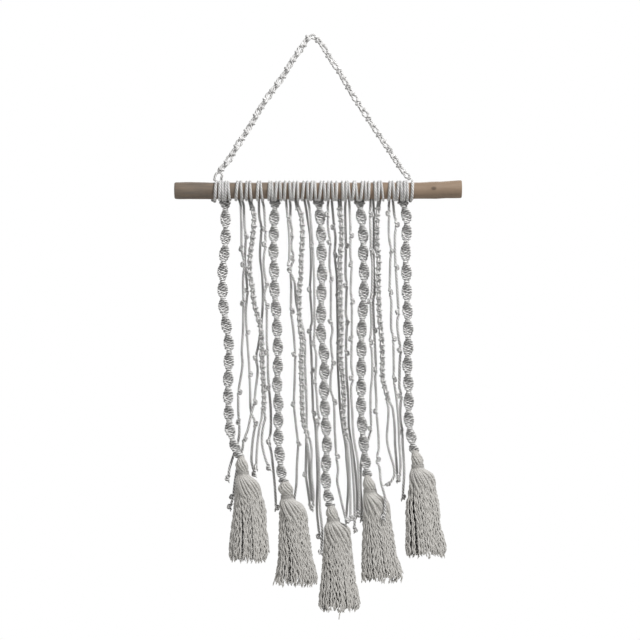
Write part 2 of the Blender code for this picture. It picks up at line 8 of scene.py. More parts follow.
import bmesh
import bpy
import numpy as np
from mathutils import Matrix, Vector


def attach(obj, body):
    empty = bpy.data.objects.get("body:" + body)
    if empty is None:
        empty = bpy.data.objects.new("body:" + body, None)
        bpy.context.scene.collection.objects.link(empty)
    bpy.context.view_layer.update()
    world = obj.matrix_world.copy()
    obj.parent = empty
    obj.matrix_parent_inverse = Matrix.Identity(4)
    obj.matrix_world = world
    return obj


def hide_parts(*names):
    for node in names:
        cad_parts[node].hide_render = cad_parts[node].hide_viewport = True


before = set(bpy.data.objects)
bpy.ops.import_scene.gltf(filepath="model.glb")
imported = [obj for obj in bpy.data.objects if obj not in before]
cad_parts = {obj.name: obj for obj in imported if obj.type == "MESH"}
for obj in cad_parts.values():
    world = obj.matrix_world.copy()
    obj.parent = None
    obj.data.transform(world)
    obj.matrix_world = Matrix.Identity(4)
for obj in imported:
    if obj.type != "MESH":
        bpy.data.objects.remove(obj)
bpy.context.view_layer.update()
bpy.ops.object.select_all(action="DESELECT")
chance = np.random.default_rng(11)
toMetres = 0.001
print("frame loaded:", len(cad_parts), "CAD nodes")


# Camera, light and floor

view = {
    "frameWidth": 0.979,       # metres that the picture spans at the hanging
    "centreX": 0.0138,
    "centreZ": -0.431,
    "lens": 110.0,
    "sensor": 36.0,
    "background": "#FFFFFF",
    "ambient": 0.33,
    "floorDrop": 1.25,
    "floorRadius": 1.4,
    "floorColour": "#F1F0ED",
    "lights": {
        # name: place, size, watts, colour
        "keyRight": ((1.25, -1.35, 1.30), 0.5, 72.0, "#FFFFFF"),
        "fillLeft": ((-1.6, -1.6, 0.1), 1.4, 6.0, "#FFFFFF"),
        "rimBack": ((0.2, 1.6, 0.9), 1.0, 16.0, "#FFFFFF"),
    },
}


def linear(hexColour):
    values = [int(hexColour[i : i + 2], 16) / 255 for i in (1, 3, 5)]
    return tuple(v / 12.92 if v <= 0.04045 else ((v + 0.055) / 1.055) ** 2.4 for v in values) + (1.0,)


def addNode(tree, kind, settings=None, values=None, links=None):
    node = tree.nodes.new(kind)
    for name, value in (settings or {}).items():
        setattr(node, name, value)
    for socket, value in (values or {}).items():
        node.inputs[socket].default_value = value
    for socket, source in (links or {}).items():
        tree.links.new(source, node.inputs[socket])
    return node


def newMaterial(name, values):
    material = bpy.data.materials.new(name)
    material.use_nodes = True
    shader = material.node_tree.nodes["Principled BSDF"]
    for socket, value in values.items():
        shader.inputs[socket].default_value = value
    return material, material.node_tree, shader


def setUpWorld():
    world = bpy.data.worlds.new("paleStudio")
    bpy.context.scene.world = world
    world.use_nodes = True
    tree = world.node_tree
    tree.nodes.clear()
    backdrop = linear(view["background"])
    seen = addNode(tree, "ShaderNodeBackground", values={"Color": backdrop})
    ambient = addNode(tree, "ShaderNodeBackground", values={"Color": backdrop, "Strength": view["ambient"]})
    rays = addNode(tree, "ShaderNodeLightPath")
    mix = addNode(
        tree, "ShaderNodeMixShader",
        links={0: rays.outputs["Is Camera Ray"], 1: ambient.outputs[0], 2: seen.outputs[0]},
    )
    addNode(tree, "ShaderNodeOutputWorld", links={"Surface": mix.outputs[0]})
    bpy.context.scene.view_settings.view_transform = "Standard"
    bpy.context.scene.view_settings.look = "None"


def setUpCamera():
    away = view["frameWidth"] * view["lens"] / view["sensor"]
    bpy.ops.object.camera_add(
        location=(view["centreX"], -away, view["centreZ"]), rotation=(math.pi / 2, 0.0, 0.0)
    )
    camera = bpy.context.object
    camera.name = "camera"
    camera.data.lens = view["lens"]
    camera.data.sensor_width = view["sensor"]
    bpy.context.scene.camera = camera


def setUpLights():
    for name, (place, size, watts, colour) in view["lights"].items():
        bpy.ops.object.light_add(type="AREA", location=place)
        lamp = bpy.context.object
        lamp.name = name
        lamp.data.size = size
        lamp.data.energy = watts
        lamp.data.color = linear(colour)[:3]
        aim = Vector((0.0, 0.0, view["centreZ"])) - Vector(place)
        lamp.rotation_euler = aim.to_track_quat("-Z", "Y").to_euler()


def makeFloor():
    # pale floor paint, matt
    bpy.ops.mesh.primitive_circle_add(
        vertices=96, radius=view["floorRadius"], fill_type="NGON", location=(0.0, 0.0, -view["floorDrop"])
    )
    floor = bpy.context.object
    floor.name = "floor"
    paint = newMaterial("paleFloorPaint", {"Base Color": linear(view["floorColour"]), "Roughness": 0.8})[0]
    floor.data.materials.append(paint)


setUpWorld()
setUpCamera()
setUpLights()
makeFloor()
print("camera, light and floor ready")


# Cord work. A line is an array of points in millimetres; laying a cord along it gives a
# twisted section, and every piece below is made of such strands.

underRod = 248.0   # the drop of a route's first row, just under the stick
rodDrop = 233.3
cordStart = 256.0   # the drop where a cord has come out from behind the stick

cordLook = {
    "radius": 2.1,
    "lay": 14.5,          # one full turn of the three plies, drawn coarser than the real 10 mm
    "ringGap": 1.3,
    "valley": 0.55,       # how deep the groove between two plies lies, as a share of the radius
    "shoulder": 27.0,     # degrees from a ply's crown to its shoulder
    "endShare": 0.45,     # how much of its thickness a cord keeps at its two ends
    "tipShare": 0.3,      # and how far each end bulges
    "routeStep": 7.0,     # between the points read from a route
    "behind": [(14.4, -3.0), (14.4, 5.0)],   # depth and drop from the stick's axis, behind it
    "under": (14.0, 13.0),
    "forward": 0.4,       # how far the cord has come towards its first free point there
    "frayRadius": 0.75,
    "frayLean": (0.5, 1.1),
    "frayLength": (1.2, 2.4),
}


def onHanging(x, depth, drop):
    return np.array([x, depth, -drop], float)


def lengths(line):
    # how far along a line each of its points lies
    return np.concatenate([[0.0], np.cumsum(np.linalg.norm(np.diff(line, axis=0), axis=1))])


def unit(way):
    return way / np.linalg.norm(way)


def ramp(value, low, high):
    return np.clip((value - low) / (high - low), 0.0, 1.0)


def smoothLine(points, gap):
    # evenly spaced points along a smooth curve through the given ones
    points = np.asarray(points, float)
    ends = np.vstack([2 * points[0] - points[1], points, 2 * points[-1] - points[-2]])
    a, b, c, d = (ends[i : len(ends) - 3 + i][:, None, :] for i in range(4))
    t = np.linspace(0.0, 1.0, 9)[:-1][None, :, None]
    fine = 0.5 * (
        2 * b + (c - a) * t + (2 * a - 5 * b + 4 * c - d) * t**2 + (3 * b - a - 3 * c + d) * t**3
    )
    fine = np.vstack([fine.reshape(-1, 3), points[-1:]])
    along = lengths(fine)
    marks = np.linspace(0.0, along[-1], max(3, int(round(along[-1] / gap)) + 1))
    return np.stack([np.interp(marks, along, fine[:, k]) for k in range(3)], axis=1)


def tangentsOf(line):
    ways = np.gradient(line, axis=0)
    return ways / np.maximum(np.linalg.norm(ways, axis=1), 1e-9)[:, None]


def normalsOf(line, tangents):
    # normals that turn as little as they can along the line
    normals = np.empty_like(line)
    normal = np.array([1.0, 0.0, 0.0]) if abs(tangents[0][0]) < 0.8 else np.array([0.0, 1.0, 0.0])
    for i, tangent in enumerate(tangents):
        normal = normal - (normal @ tangent) * tangent
        normal = normal / math.sqrt(normal @ normal)
        normals[i] = normal
    return normals


def pliedSection(plies, valley, shoulder):
    # (angle, share of the radius) of each corner, a groove and two shoulders for every ply
    corners = []
    for ply in range(plies):
        start = 360.0 * ply / plies
        middle = start + 180.0 / plies
        corners += [(start, valley), (middle - shoulder, 1.0), (middle + shoulder, 1.0)]
    angles, shares = np.array(corners).T
    return np.radians(angles), shares


cordSection = pliedSection(3, cordLook["valley"], cordLook["shoulder"])
yarnSection = (np.radians([0.0, 90.0, 180.0, 270.0]), np.array([0.68, 1.0, 0.68, 1.0]))


class Strands:
    # gathers the surfaces of many strands, and makes one mesh of them

    def __init__(self):
        self.points, self.quads, self.triangles = [], [], []
        self.uvQuads, self.uvTriangles, self.tones = [], [], []
        self.count = 0

    def lay(
        self, line, radius, section=cordSection, lay=cordLook["lay"], phase=0.0, tone=0.5, flatten=(1.0, 1.0)
    ):
        # the line's points are the ring centres; radius is one number or one for each point
        angles, shares = section
        sides, count = len(angles), len(line)
        radii = np.broadcast_to(np.asarray(radius, float), count).copy()
        radii[[0, -1]] *= cordLook["endShare"]
        tangents = tangentsOf(line)
        normals = normalsOf(line, tangents)
        across = np.cross(tangents, normals)
        along = lengths(line)
        spin = (phase - math.tau * along / lay)[:, None] + angles
        reach = radii[:, None] * shares
        rings = (
            line[:, None, :]
            + (flatten[0] * reach * np.cos(spin))[:, :, None] * normals[:, None, :]
            + (flatten[1] * reach * np.sin(spin))[:, :, None] * across[:, None, :]
        )
        index = self.count + np.arange(count * sides).reshape(count, sides)
        beside = np.roll(index, -1, axis=1)
        self.quads.append(
            np.stack([index[:-1], beside[:-1], beside[1:], index[1:]], axis=2).reshape(-1, 4)
        )
        u, v = along / lay, np.arange(sides + 1) / sides
        u0, u1 = (np.repeat(part[:, None], sides, axis=1) for part in (u[:-1], u[1:]))
        v0, v1 = (np.repeat(part[None, :], count - 1, axis=0) for part in (v[:-1], v[1:]))
        self.uvQuads.append(np.stack([u0, v0, u0, v1, u1, v1, u1, v0], axis=2).reshape(-1, 4, 2))
        first, last = (np.full(sides, self.count + count * sides + end) for end in (0, 1))
        self.triangles.append(np.stack([first, beside[0], index[0]], axis=1))
        self.triangles.append(np.stack([last, index[-1], beside[-1]], axis=1))
        for mark in (u[0], u[-1]):
            cap = np.stack([np.full(sides, mark), v[:-1]], axis=1)
            self.uvTriangles.append(np.stack([cap, cap, cap], axis=1))
        bulge = tangents * radii[:, None] * cordLook["tipShare"]
        self.points += [rings.reshape(-1, 3), [line[0] - bulge[0], line[-1] + bulge[-1]]]
        self.tones.append(np.full(count * sides + 2, tone))
        self.count += count * sides + 2

    def mesh(self, name, material):
        points = np.vstack(self.points) * toMetres
        quads, triangles = np.vstack(self.quads), np.vstack(self.triangles)
        totals = np.concatenate([np.full(len(quads), 4), np.full(len(triangles), 3)])
        starts = np.concatenate([[0], np.cumsum(totals)[:-1]])
        loops = np.concatenate([quads.ravel(), triangles.ravel()])
        uv = np.concatenate([np.vstack(part).ravel() for part in (self.uvQuads, self.uvTriangles)])
        mesh = bpy.data.meshes.new(name)
        mesh.vertices.add(len(points))
        mesh.vertices.foreach_set("co", points.astype(np.float32).ravel())
        mesh.loops.add(len(loops))
        mesh.loops.foreach_set("vertex_index", loops.astype(np.int32))
        mesh.polygons.add(len(totals))
        mesh.polygons.foreach_set("loop_start", starts.astype(np.int32))
        mesh.update(calc_edges=True)
        mesh.uv_layers.new(name="alongCord").data.foreach_set("uv", uv.astype(np.float32))
        tone = mesh.attributes.new("tone", "FLOAT", "POINT")
        tone.data.foreach_set("value", np.concatenate(self.tones).astype(np.float32))
        mesh.shade_smooth()
        mesh.materials.append(material)
        piece = bpy.data.objects.new(name, mesh)
        bpy.context.scene.collection.objects.link(piece)
        return piece


def settle(piece, node):
    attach(piece, "root")
    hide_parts(node)
    return piece


def anyTurn():
    return chance.uniform(0.0, math.tau)


def anyTone(lift=0.0):
    return lift + float(np.clip(chance.normal(0.5, 0.16), 0.0, 1.0))


def routeCurve(rows):
    # a smooth function of the first column, as the CAD source's routes are read
    rows = np.array(rows, float)
    marks, values = rows[:, 0], rows[:, 1:]
    before = np.maximum(np.arange(len(rows)) - 1, 0)
    after = np.minimum(np.arange(len(rows)) + 1, len(rows) - 1)
    slopes = (values[after] - values[before]) / (marks[after] - marks[before])[:, None]

    def at(mark):
        i = int(np.clip(np.searchsorted(marks, mark, side="right") - 1, 0, len(rows) - 2))
        span = marks[i + 1] - marks[i]
        t = (mark - marks[i]) / span
        return (
            (2 * t**3 - 3 * t**2 + 1) * values[i] + (t**3 - 2 * t**2 + t) * span * slopes[i]
            + (3 * t**2 - 2 * t**3) * values[i + 1] + (t**3 - t**2) * span * slopes[i + 1]
        )

    return at


cottonLook = {
    "kinds": {
        # material: colour on the plies, and the dark colour of random tone and of the painted shade between
        # the plies, the number of plies, where a groove's painted shade begins and ends, and how light the
        # cord starts
        # undyed cotton cord, washed: off-white plies with grey shade painted between them
        "threePlyCotton": ("#F0EFEE", "#3B3A39", 3, (0.42, 1.0), 0.30),
        # the same cord in the slack hanger, where light gets in between the plies
        "slackThreePlyCotton": ("#F0EFEE", "#72716F", 3, (0.0, 0.7), 0.08),
        # the cotton yarn of the tassels: greyer and softer, with faint painted shade in its grooves
        "unlaidCottonYarn": ("#CAC8C4", "#B1AEA9", 2, (0.05, 0.60), 0.08),
    },
    "roughness": 0.92,
    "sheen": 0.25,
    "sheenRoughness": 0.6,
    "specular": 0.2,
    "fibres": (5.0, 26.0, 1.0),   # streaks in a turn of the lay, and round the cord: 0.5 mm each
    "fibreSlant": 0.12,
    "fibreBump": 0.0005,
    "patches": 190.0,             # patches of shade about 5 mm across
    "toneShare": 0.35,            # what a strand's tone, the patches and the fibres add to its light
    "patchShare": 0.40,
    "fibreShare": 0.45,
}


def cottonMaterial(name, light, dark, plies, groove, lift):
    # Plied cotton: matt, soft at grazing angles, with fine fibres that run along each ply and painted shade
    # in the grooves.
    material, tree, shader = newMaterial(name, {
        "Roughness": cottonLook["roughness"], "Specular IOR Level": cottonLook["specular"],
        "Sheen Weight": cottonLook["sheen"], "Sheen Roughness": cottonLook["sheenRoughness"],
    })
    along = addNode(tree, "ShaderNodeUVMap", {"uv_map": "alongCord"})
    place = addNode(tree, "ShaderNodeTexCoord")
    tone = addNode(tree, "ShaderNodeAttribute", {"attribute_name": "tone"})
    split = addNode(tree, "ShaderNodeSeparateXYZ", links={0: along.outputs[0]})
    # painted shade: the colour turns to the dark colour in the grooves between the plies, where less light
    # reaches
    turns = addNode(
        tree, "ShaderNodeMath", {"operation": "MULTIPLY"}, {1: math.pi * plies}, {0: split.outputs["Y"]}
    )
    wave = addNode(tree, "ShaderNodeMath", {"operation": "SINE"}, links={0: turns.outputs[0]})
    crown = addNode(tree, "ShaderNodeMath", {"operation": "ABSOLUTE"}, links={0: wave.outputs[0]})
    clear = addNode(
        tree, "ShaderNodeMapRange", values={"From Min": groove[0], "From Max": groove[1]},
        links={"Value": crown.outputs[0]},
    )
    streaks = addNode(
        tree, "ShaderNodeMapping",
        values={"Scale": cottonLook["fibres"], "Rotation": (0.0, 0.0, cottonLook["fibreSlant"])},
        links={"Vector": along.outputs[0]},
    )
    fibres = addNode(
        tree, "ShaderNodeTexNoise", values={"Scale": 1.0, "Detail": 3.0, "Roughness": 0.6},
        links={"Vector": streaks.outputs[0]},
    )
    mottle = addNode(
        tree, "ShaderNodeTexNoise", values={"Scale": cottonLook["patches"], "Detail": 1.0},
        links={"Vector": place.outputs["Object"]},
    )
    patches = addNode(
        tree, "ShaderNodeMapRange", values={"From Min": 0.35, "From Max": 0.65},
        links={"Value": mottle.outputs["Fac"]},
    )
    blend = addNode(tree, "ShaderNodeValue")
    blend.outputs[0].default_value = lift
    for source, share in (
        (tone.outputs["Fac"], "toneShare"), (patches.outputs[0], "patchShare"),
        (fibres.outputs["Fac"], "fibreShare"),
    ):
        blend = addNode(
            tree, "ShaderNodeMath", {"operation": "MULTIPLY_ADD"}, {1: cottonLook[share]},
            {0: source, 2: blend.outputs[0]},
        )
    shade = addNode(
        tree, "ShaderNodeMath", {"operation": "MULTIPLY", "use_clamp": True},
        links={0: blend.outputs[0], 1: clear.outputs[0]},
    )
    colour = addNode(
        tree, "ShaderNodeMix", {"data_type": "RGBA"}, {"A": linear(dark), "B": linear(light)},
        {"Factor": shade.outputs[0]},
    )
    bump = addNode(
        tree, "ShaderNodeBump", values={"Strength": 0.8, "Distance": cottonLook["fibreBump"]},
        links={"Height": fibres.outputs["Fac"]},
    )
    tree.links.new(colour.outputs["Result"], shader.inputs["Base Color"])
    tree.links.new(bump.outputs[0], shader.inputs["Normal"])
    return material


cottonCord, slackCord, cottonYarn = (
    cottonMaterial(name, *kind) for name, kind in cottonLook["kinds"].items()
)


# The stick: peeled, dried and sawn off at both ends

stick = [
    # x, drop of the axis, radius
    (-208.5, 233.0, 11.6), (-207.0, 233.0, 12.6), (-180.0, 233.2, 12.8), (-155.0, rodDrop, 12.7),
    (0.0, rodDrop, 12.6), (158.0, rodDrop, 12.7), (178.0, 232.7, 13.0), (189.0, 232.3, 13.5),
    (202.0, 231.9, 13.1), (229.0, 231.0, 13.5), (230.3, 231.0, 12.6),
]
stickLook = {
    "sides": 64,
    "rings": 56,
    "startRadius": 12.7,
    "rim": 0.0007,
    "unround": 0.22,        # millimetres that the peeled surface wanders
    # its waves: height, how fast it changes along and round the stick, phase
    "waves": [(1.0, 0.043, 2, 0.0), (0.7, 0.11, -3, 1.0), (0.4, 0.27, 5, 0.0)],
    # the left end: the wood's own grey with painted shade; the right end: its own tan with painted light, as
    # light falls from the right
    "greyShadedLeft": "#625A52",
    "tanLitRight": "#7D6B5A",
    "fadeX": (-0.17, 0.15),
    "tanLight": "#8C7965",
    "stain": "#4A3C32",
    "roughness": 0.62,
    "specular": 0.35,
    "grainSpacing": 0.9,    # millimetres between grain lines
    "branchAt": (187.0, -12.6, -230.5),    # where a small branch was cut away
    "branchSize": (5.0, 9.0, 3.4),
    "sawnDark": "#A98F6B",
    "sawnPale": "#CDB793",
    "sawnRoughness": 0.85,
}


def peeledWood():
    # Peeled wood, dried to a dull face: fine grain along the stick, greyer at its left end, with painted
    # shade at that end and painted light at the right one as light falls from the right, darker fibres where
    # the bark held on and a dark scar where a branch was cut away.
    material, tree, shader = newMaterial(
        "peeledWood", {"Roughness": stickLook["roughness"], "Specular IOR Level": stickLook["specular"]}
    )
    place = addNode(tree, "ShaderNodeTexCoord").outputs["Object"]
    split = addNode(tree, "ShaderNodeSeparateXYZ", links={0: place})
    fine = 1000.0 / stickLook["grainSpacing"]
    stretch = addNode(
        tree, "ShaderNodeMapping", values={"Scale": (fine / 40.0, fine / 4.0, fine / 4.0)},
        links={"Vector": place},
    )
    grain = addNode(
        tree, "ShaderNodeTexNoise",
        values={"Scale": 1.0, "Detail": 5.0, "Roughness": 0.65, "Distortion": 0.4},
        links={"Vector": stretch.outputs[0]},
    )
    broad = addNode(
        tree, "ShaderNodeMapping", values={"Scale": (9.0, 60.0, 60.0)}, links={"Vector": place}
    )
    patches = addNode(
        tree, "ShaderNodeTexNoise", values={"Scale": 1.0, "Detail": 3.0, "Roughness": 0.55},
        links={"Vector": broad.outputs[0]},
    )
    size = [1.0 / (toMetres * part) for part in stickLook["branchSize"]]
    back = [-toMetres * centre * part for centre, part in zip(stickLook["branchAt"], size)]
    branch = addNode(
        tree, "ShaderNodeMapping", values={"Scale": size, "Location": back}, links={"Vector": place}
    )
    scar = addNode(
        tree, "ShaderNodeTexGradient", {"gradient_type": "SPHERICAL"}, links={0: branch.outputs[0]}
    )
    # painted shade and light: the colour darkens towards the left end and lightens towards the right, as
    # light from the right would
    lengthwise = addNode(
        tree, "ShaderNodeMapRange",
        values={"From Min": stickLook["fadeX"][0], "From Max": stickLook["fadeX"][1]},
        links={"Value": split.outputs["X"]},
    )
    colour = addNode(
        tree, "ShaderNodeMix", {"data_type": "RGBA"},
        {"A": linear(stickLook["greyShadedLeft"]), "B": linear(stickLook["tanLitRight"])},
        {"Factor": lengthwise.outputs[0]},
    )
    for pattern, low, high, most, shade in (
        (grain, 0.35, 0.70, 0.55, "tanLight"), (patches, 0.52, 0.75, 0.6, "stain"),
        (scar, 0.0, 0.5, 0.75, "stain"),
    ):
        share = addNode(
            tree, "ShaderNodeMapRange", values={"From Min": low, "From Max": high, "To Max": most},
            links={"Value": pattern.outputs["Fac"]},
        )
        colour = addNode(
            tree, "ShaderNodeMix", {"data_type": "RGBA"}, {"B": linear(stickLook[shade])},
            {"A": colour.outputs["Result"], "Factor": share.outputs[0]},
        )
    bump = addNode(
        tree, "ShaderNodeBump", values={"Strength": 0.6, "Distance": 0.00025},
        links={"Height": grain.outputs["Fac"]},
    )
    tree.links.new(colour.outputs["Result"], shader.inputs["Base Color"])
    tree.links.new(bump.outputs[0], shader.inputs["Normal"])
    return material


def sawnEnd():
    # A sawn end: paler, with rings round the pith and the saw's marks across them.
    material, tree, shader = newMaterial("sawnEndGrain", {"Roughness": stickLook["sawnRoughness"]})
    place = addNode(tree, "ShaderNodeTexCoord")
    centre = addNode(
        tree, "ShaderNodeMapping",
        values={"Location": (0.0, 0.0, rodDrop * toMetres), "Scale": (0.0, 1.0, 1.0)},
        links={"Vector": place.outputs["Object"]},
    )
    rings = addNode(
        tree, "ShaderNodeTexWave", {"wave_type": "RINGS", "rings_direction": "X"},
        {"Scale": 150.0, "Distortion": 1.5, "Detail": 2.0}, {"Vector": centre.outputs[0]},
    )
    colour = addNode(
        tree, "ShaderNodeMix", {"data_type": "RGBA"},
        {"A": linear(stickLook["sawnDark"]), "B": linear(stickLook["sawnPale"])},
        {"Factor": rings.outputs["Fac"]},
    )
    tree.links.new(colour.outputs["Result"], shader.inputs["Base Color"])
    return material


def makeStick():
    first, last = stick[0][0], stick[-1][0]
    bpy.ops.mesh.primitive_cylinder_add(
        vertices=stickLook["sides"], radius=stickLook["startRadius"] * toMetres,
        depth=(last - first) * toMetres,
        location=((last + first) / 2 * toMetres, 0.0, -rodDrop * toMetres), rotation=(0.0, math.pi / 2, 0.0),
    )
    rod = bpy.context.object
    rod.name = "peeled_stick"
    bpy.ops.object.transform_apply(location=True, rotation=True, scale=True)
    bpy.ops.object.mode_set(mode="EDIT")
    # a ring at each rim, so that the ends keep their small chamfers
    cuts = [stick[1][0], *np.linspace(first, last, stickLook["rings"] + 2)[1:-1], stick[-2][0]]
    for x in cuts:
        bpy.ops.mesh.select_all(action="SELECT")
        bpy.ops.mesh.bisect(plane_co=(x * toMetres, 0.0, 0.0), plane_no=(1.0, 0.0, 0.0))
    bpy.ops.object.mode_set(mode="OBJECT")
    profile = routeCurve(stick)
    for vertex in rod.data.vertices:
        x = vertex.co.x / toMetres
        drop, radius = profile(float(np.clip(x, first, last)))
        angle = math.atan2(vertex.co.z + rodDrop * toMetres, vertex.co.y)
        away = radius + stickLook["unround"] * sum(
            height * math.sin(along * x + around * angle + phase)
            for height, along, around, phase in stickLook["waves"]
        )
        vertex.co.y = away * math.cos(angle) * toMetres
        vertex.co.z = (-drop + away * math.sin(angle)) * toMetres
    rod.data.materials.append(peeledWood())
    rod.data.materials.append(sawnEnd())
    mesh = bmesh.new()
    mesh.from_mesh(rod.data)
    for face in mesh.faces:
        face.select_set(len(face.verts) > 4)
    mesh.to_mesh(rod.data)
    mesh.free()
    bpy.ops.object.mode_set(mode="EDIT")
    bpy.ops.mesh.select_mode(type="FACE")
    bpy.ops.mesh.inset(thickness=stickLook["rim"], depth=0.0)
    rod.active_material_index = 1
    bpy.ops.object.material_slot_assign()
    bpy.ops.object.mode_set(mode="OBJECT")
    return settle(rod, "rod")


makeStick()
print("stick shaped")


headTurns = {
    # node: x of each turn that shows on the front of the stick
    "hanger_tie_left": [-147.8],
    "heading_spiral_1": [-139.2, -134.8, -130.2, -125.5],
    "heading_a1": [-113.2, -106.3],
    "heading_b1": [-98.2, -92.3],
    "heading_c1": [-81.1, -75.6],
    "heading_spiral_2": [-63.5, -59.2, -53.2, -46.7],
    "heading_a2": [-39.8, -31.7],
    "heading_b2": [-26.2, -19.9],
    "heading_c2": [-11.9, -4.9],
    "heading_spiral_3": [1.1, 6.6, 14.4, 20.7],
    "heading_a3": [26.5, 33.0],
    "heading_b3": [39.0, 48.7],
    "heading_c3": [53.9, 58.1],
    "heading_spiral_4": [64.9, 69.2, 77.4, 83.2],
    "heading_a4": [88.2, 98.1],
    "heading_b4": [103.2, 108.6],
    "heading_c4": [120.0, 126.2],
    "heading_spiral_5": [132.3, 137.9, 142.6, 146.9],
    "hanger_tie_right": [152.4],
}


# Free cords, each with overhand knots along it and one at its end

knotLook = {
    "size": 1.05,          # millimetres for one unit of the knot's own formula
    "cordShare": 0.86,     # a pulled-tight cord is this share of its loose thickness
    "tightWithin": 6.4,    # this near to a knot's middle
    "depth": 1.35,
    "openAt": 0.52,        # where the closed knot is cut, in radians along it
    "axisAt": 1.5,         # how far the cord's line lies from the knot's middle, in units
    "lead": [(0.0, 0.0, -6.2), (0.6, 0.5, -4.2), (0.9, 1.2, -2.9)],   # the way in, in units
    "clear": 2.5,          # the room kept above and below a knot
    "level": 4.0,          # how far up and down its direction is read
    "roll": 0.9,           # how far a knot turns out of the viewer's plane
    "endWithin": 12.0,     # a knot this near to the cord's end is its last
    "tailBelow": 2.0,
}


def overhandKnot(centre, down, side, size=knotLook["size"]):
    # a tight overhand knot: the cord comes in above, loops through itself and leaves below
    t = np.linspace(knotLook["openAt"], math.tau - knotLook["openAt"], 22)
    reach = 2 + np.cos(3 * t)
    across = reach * np.cos(2 * t) - knotLook["axisAt"]
    loop = np.stack([across, knotLook["depth"] * np.sin(3 * t), -reach * np.sin(2 * t)], axis=1)
    lead = np.array(knotLook["lead"])
    points = np.vstack([lead, loop, lead[::-1] * [1, -1, -1]]) * size
    front = np.cross(side, down)
    return centre + points[:, :1] * side + points[:, 1:2] * front + points[:, 2:] * down


def downFromStick(x, towards):
    # the start of a cord: behind the stick, then bending forwards under it to its first free point
    under = onHanging(x, cordLook["under"][0], rodDrop + cordLook["under"][1])
    level = np.array([towards[0], towards[1], under[2]])
    bent = (1 - cordLook["forward"]) * under + cordLook["forward"] * level
    return [onHanging(x, depth, rodDrop + below) for depth, below in cordLook["behind"]] + [bent]


def knottedLine(route, knots, begin, fromDrop):
    # the cord's line and its thickness at each point, with a knot at every drop in knots
    curve = routeCurve(route)
    last = route[-1][0]
    reach = knotLook["clear"] - knotLook["lead"][0][2] * knotLook["size"]
    points, marks = list(begin), []
    drop = fromDrop

    def where(mark):
        return onHanging(*curve(mark), mark)

    for knot in knots + [None]:
        until = last if knot is None else knot - reach
        while drop < until:
            points.append(where(drop))
            drop += cordLook["routeStep"]
        if knot is None:
            points.append(where(last))
            break
        down = unit(where(min(knot + knotLook["level"], last)) - where(knot - knotLook["level"]))
        roll = chance.choice([0.0, math.pi]) + chance.uniform(-knotLook["roll"], knotLook["roll"])
        side = np.array([math.cos(roll), math.sin(roll), 0.0])
        side = unit(side - (side @ down) * down)
        tied = overhandKnot(where(knot), down, side)
        marks.append(where(knot))
        drop = knot + reach
        if last - knot < knotLook["endWithin"]:
            points.extend(tied[:-2])
            points.append(points[-1] + down * knotLook["tailBelow"])
            break
        points.extend(tied)
    line = smoothLine(points, cordLook["ringGap"])
    radius = np.full(len(line), cordLook["radius"])
    for mark in marks:
        radius[np.linalg.norm(line - mark, axis=1) < knotLook["tightWithin"]] *= knotLook["cordShare"]
    return line, np.convolve(np.pad(radius, 3, mode="edge"), np.ones(7) / 7, mode="valid")


def declareCord(line, diameter):
    path = line * toMetres
    tuple(path[0])
    round(float(lengths(path)[-1]), 3)


def frayEnd(strands, line):
    # the three plies stand a little apart past the last knot
    down = unit(line[-1] - line[-4])
    for ply in range(3):
        turn = anyTurn()
        lean = np.array([math.cos(turn), math.sin(turn), 0.0]) * chance.uniform(*cordLook["frayLean"])
        tip = line[-1] + down * chance.uniform(*cordLook["frayLength"]) + lean
        strands.lay(
            smoothLine([line[-2], line[-1] + lean / 2, tip], 0.8), cordLook["frayRadius"],
            section=yarnSection, lay=4.0, phase=turn,
        )


def makeCord(name, cord, begin, fromDrop, node):
    knots, *rows = cord
    line, radius = knottedLine(filled(rows), knots, begin, fromDrop)
    strands = Strands()
    lay = cordLook["lay"] * chance.uniform(0.94, 1.06)
    strands.lay(line, radius, lay=lay, phase=anyTurn(), tone=anyTone())
    frayEnd(strands, line)
    piece = settle(strands.mesh(name, cottonCord), node)
    declareCord(line, 2 * cordLook["radius"] * toMetres)


# Lark's heads: each is one cord, with its bar at the back and both tails hanging down behind

headLook = {
    "wide": 2.3,           # a turn is pressed flat against the stick
    "thick": 1.75,
    "turnRadius": 14.3,
    "barRadius": 18.1,
    # the front of a turn: degrees round the stick, share of its lean, how far it stands off
    "front": [(236, 1.2, 0.6), (270, 1.1, 0), (315, 0.7, 0), (360, 0, 0), (405, -0.6, 0), (450, -0.8, 0)],
    "tailApart": 2.1,
    "tailEnd": 243.0,
    "ringGap": 1.4,
    "lean": (0.4, 1.9),    # how far a turn's foot stands out from its top, as far as there is room
    "leastLean": 0.2,
    "outerRoom": 2.0,      # for the turns with no neighbour
    "tieDegrees": range(120, 481, 30),
    "tieSlant": 0.012,     # millimetres sideways for each degree
    "tieOver": 1.2,        # how far the end crosses over the start
    "tieKnot": 0.72,       # the hanger's short ends are knotted smaller and tighter
    "tieKnotDepth": 11.0,
    "tieRadius": 1.45,
    "tieStart": [(0.6, 15.2, -2.0), (0.8, 15.6, 4.0)],   # share of its shift, depth, drop from the axis
    # tie: how far to the side each short end's knot hangs, and its drop
    "tieTails": {"hanger_tie_left": [(-4.6, 246.5), (1.2, 248.0)], "hanger_tie_right": [(-1.5, 247.5)]},
}
allTurns = sorted(x for turns in headTurns.values() for x in turns)


def aroundStick(x, degrees, radius):
    # 0 faces the viewer, 90 is the top of the stick and 180 its back
    turn = math.radians(degrees)
    return onHanging(x, -radius * math.cos(turn), rodDrop - radius * math.sin(turn))


def leanOf(x, outward):
    # a foot may stand out until it meets the next cord's turn
    others = [abs(other - x) for other in allTurns if (other - x) * outward > 0.1]
    room = (min(others) - 2 * headLook["wide"]) / 2 + 0.5 if others else headLook["outerRoom"]
    return outward * min(chance.uniform(*headLook["lean"]), max(room, headLook["leastLean"]))


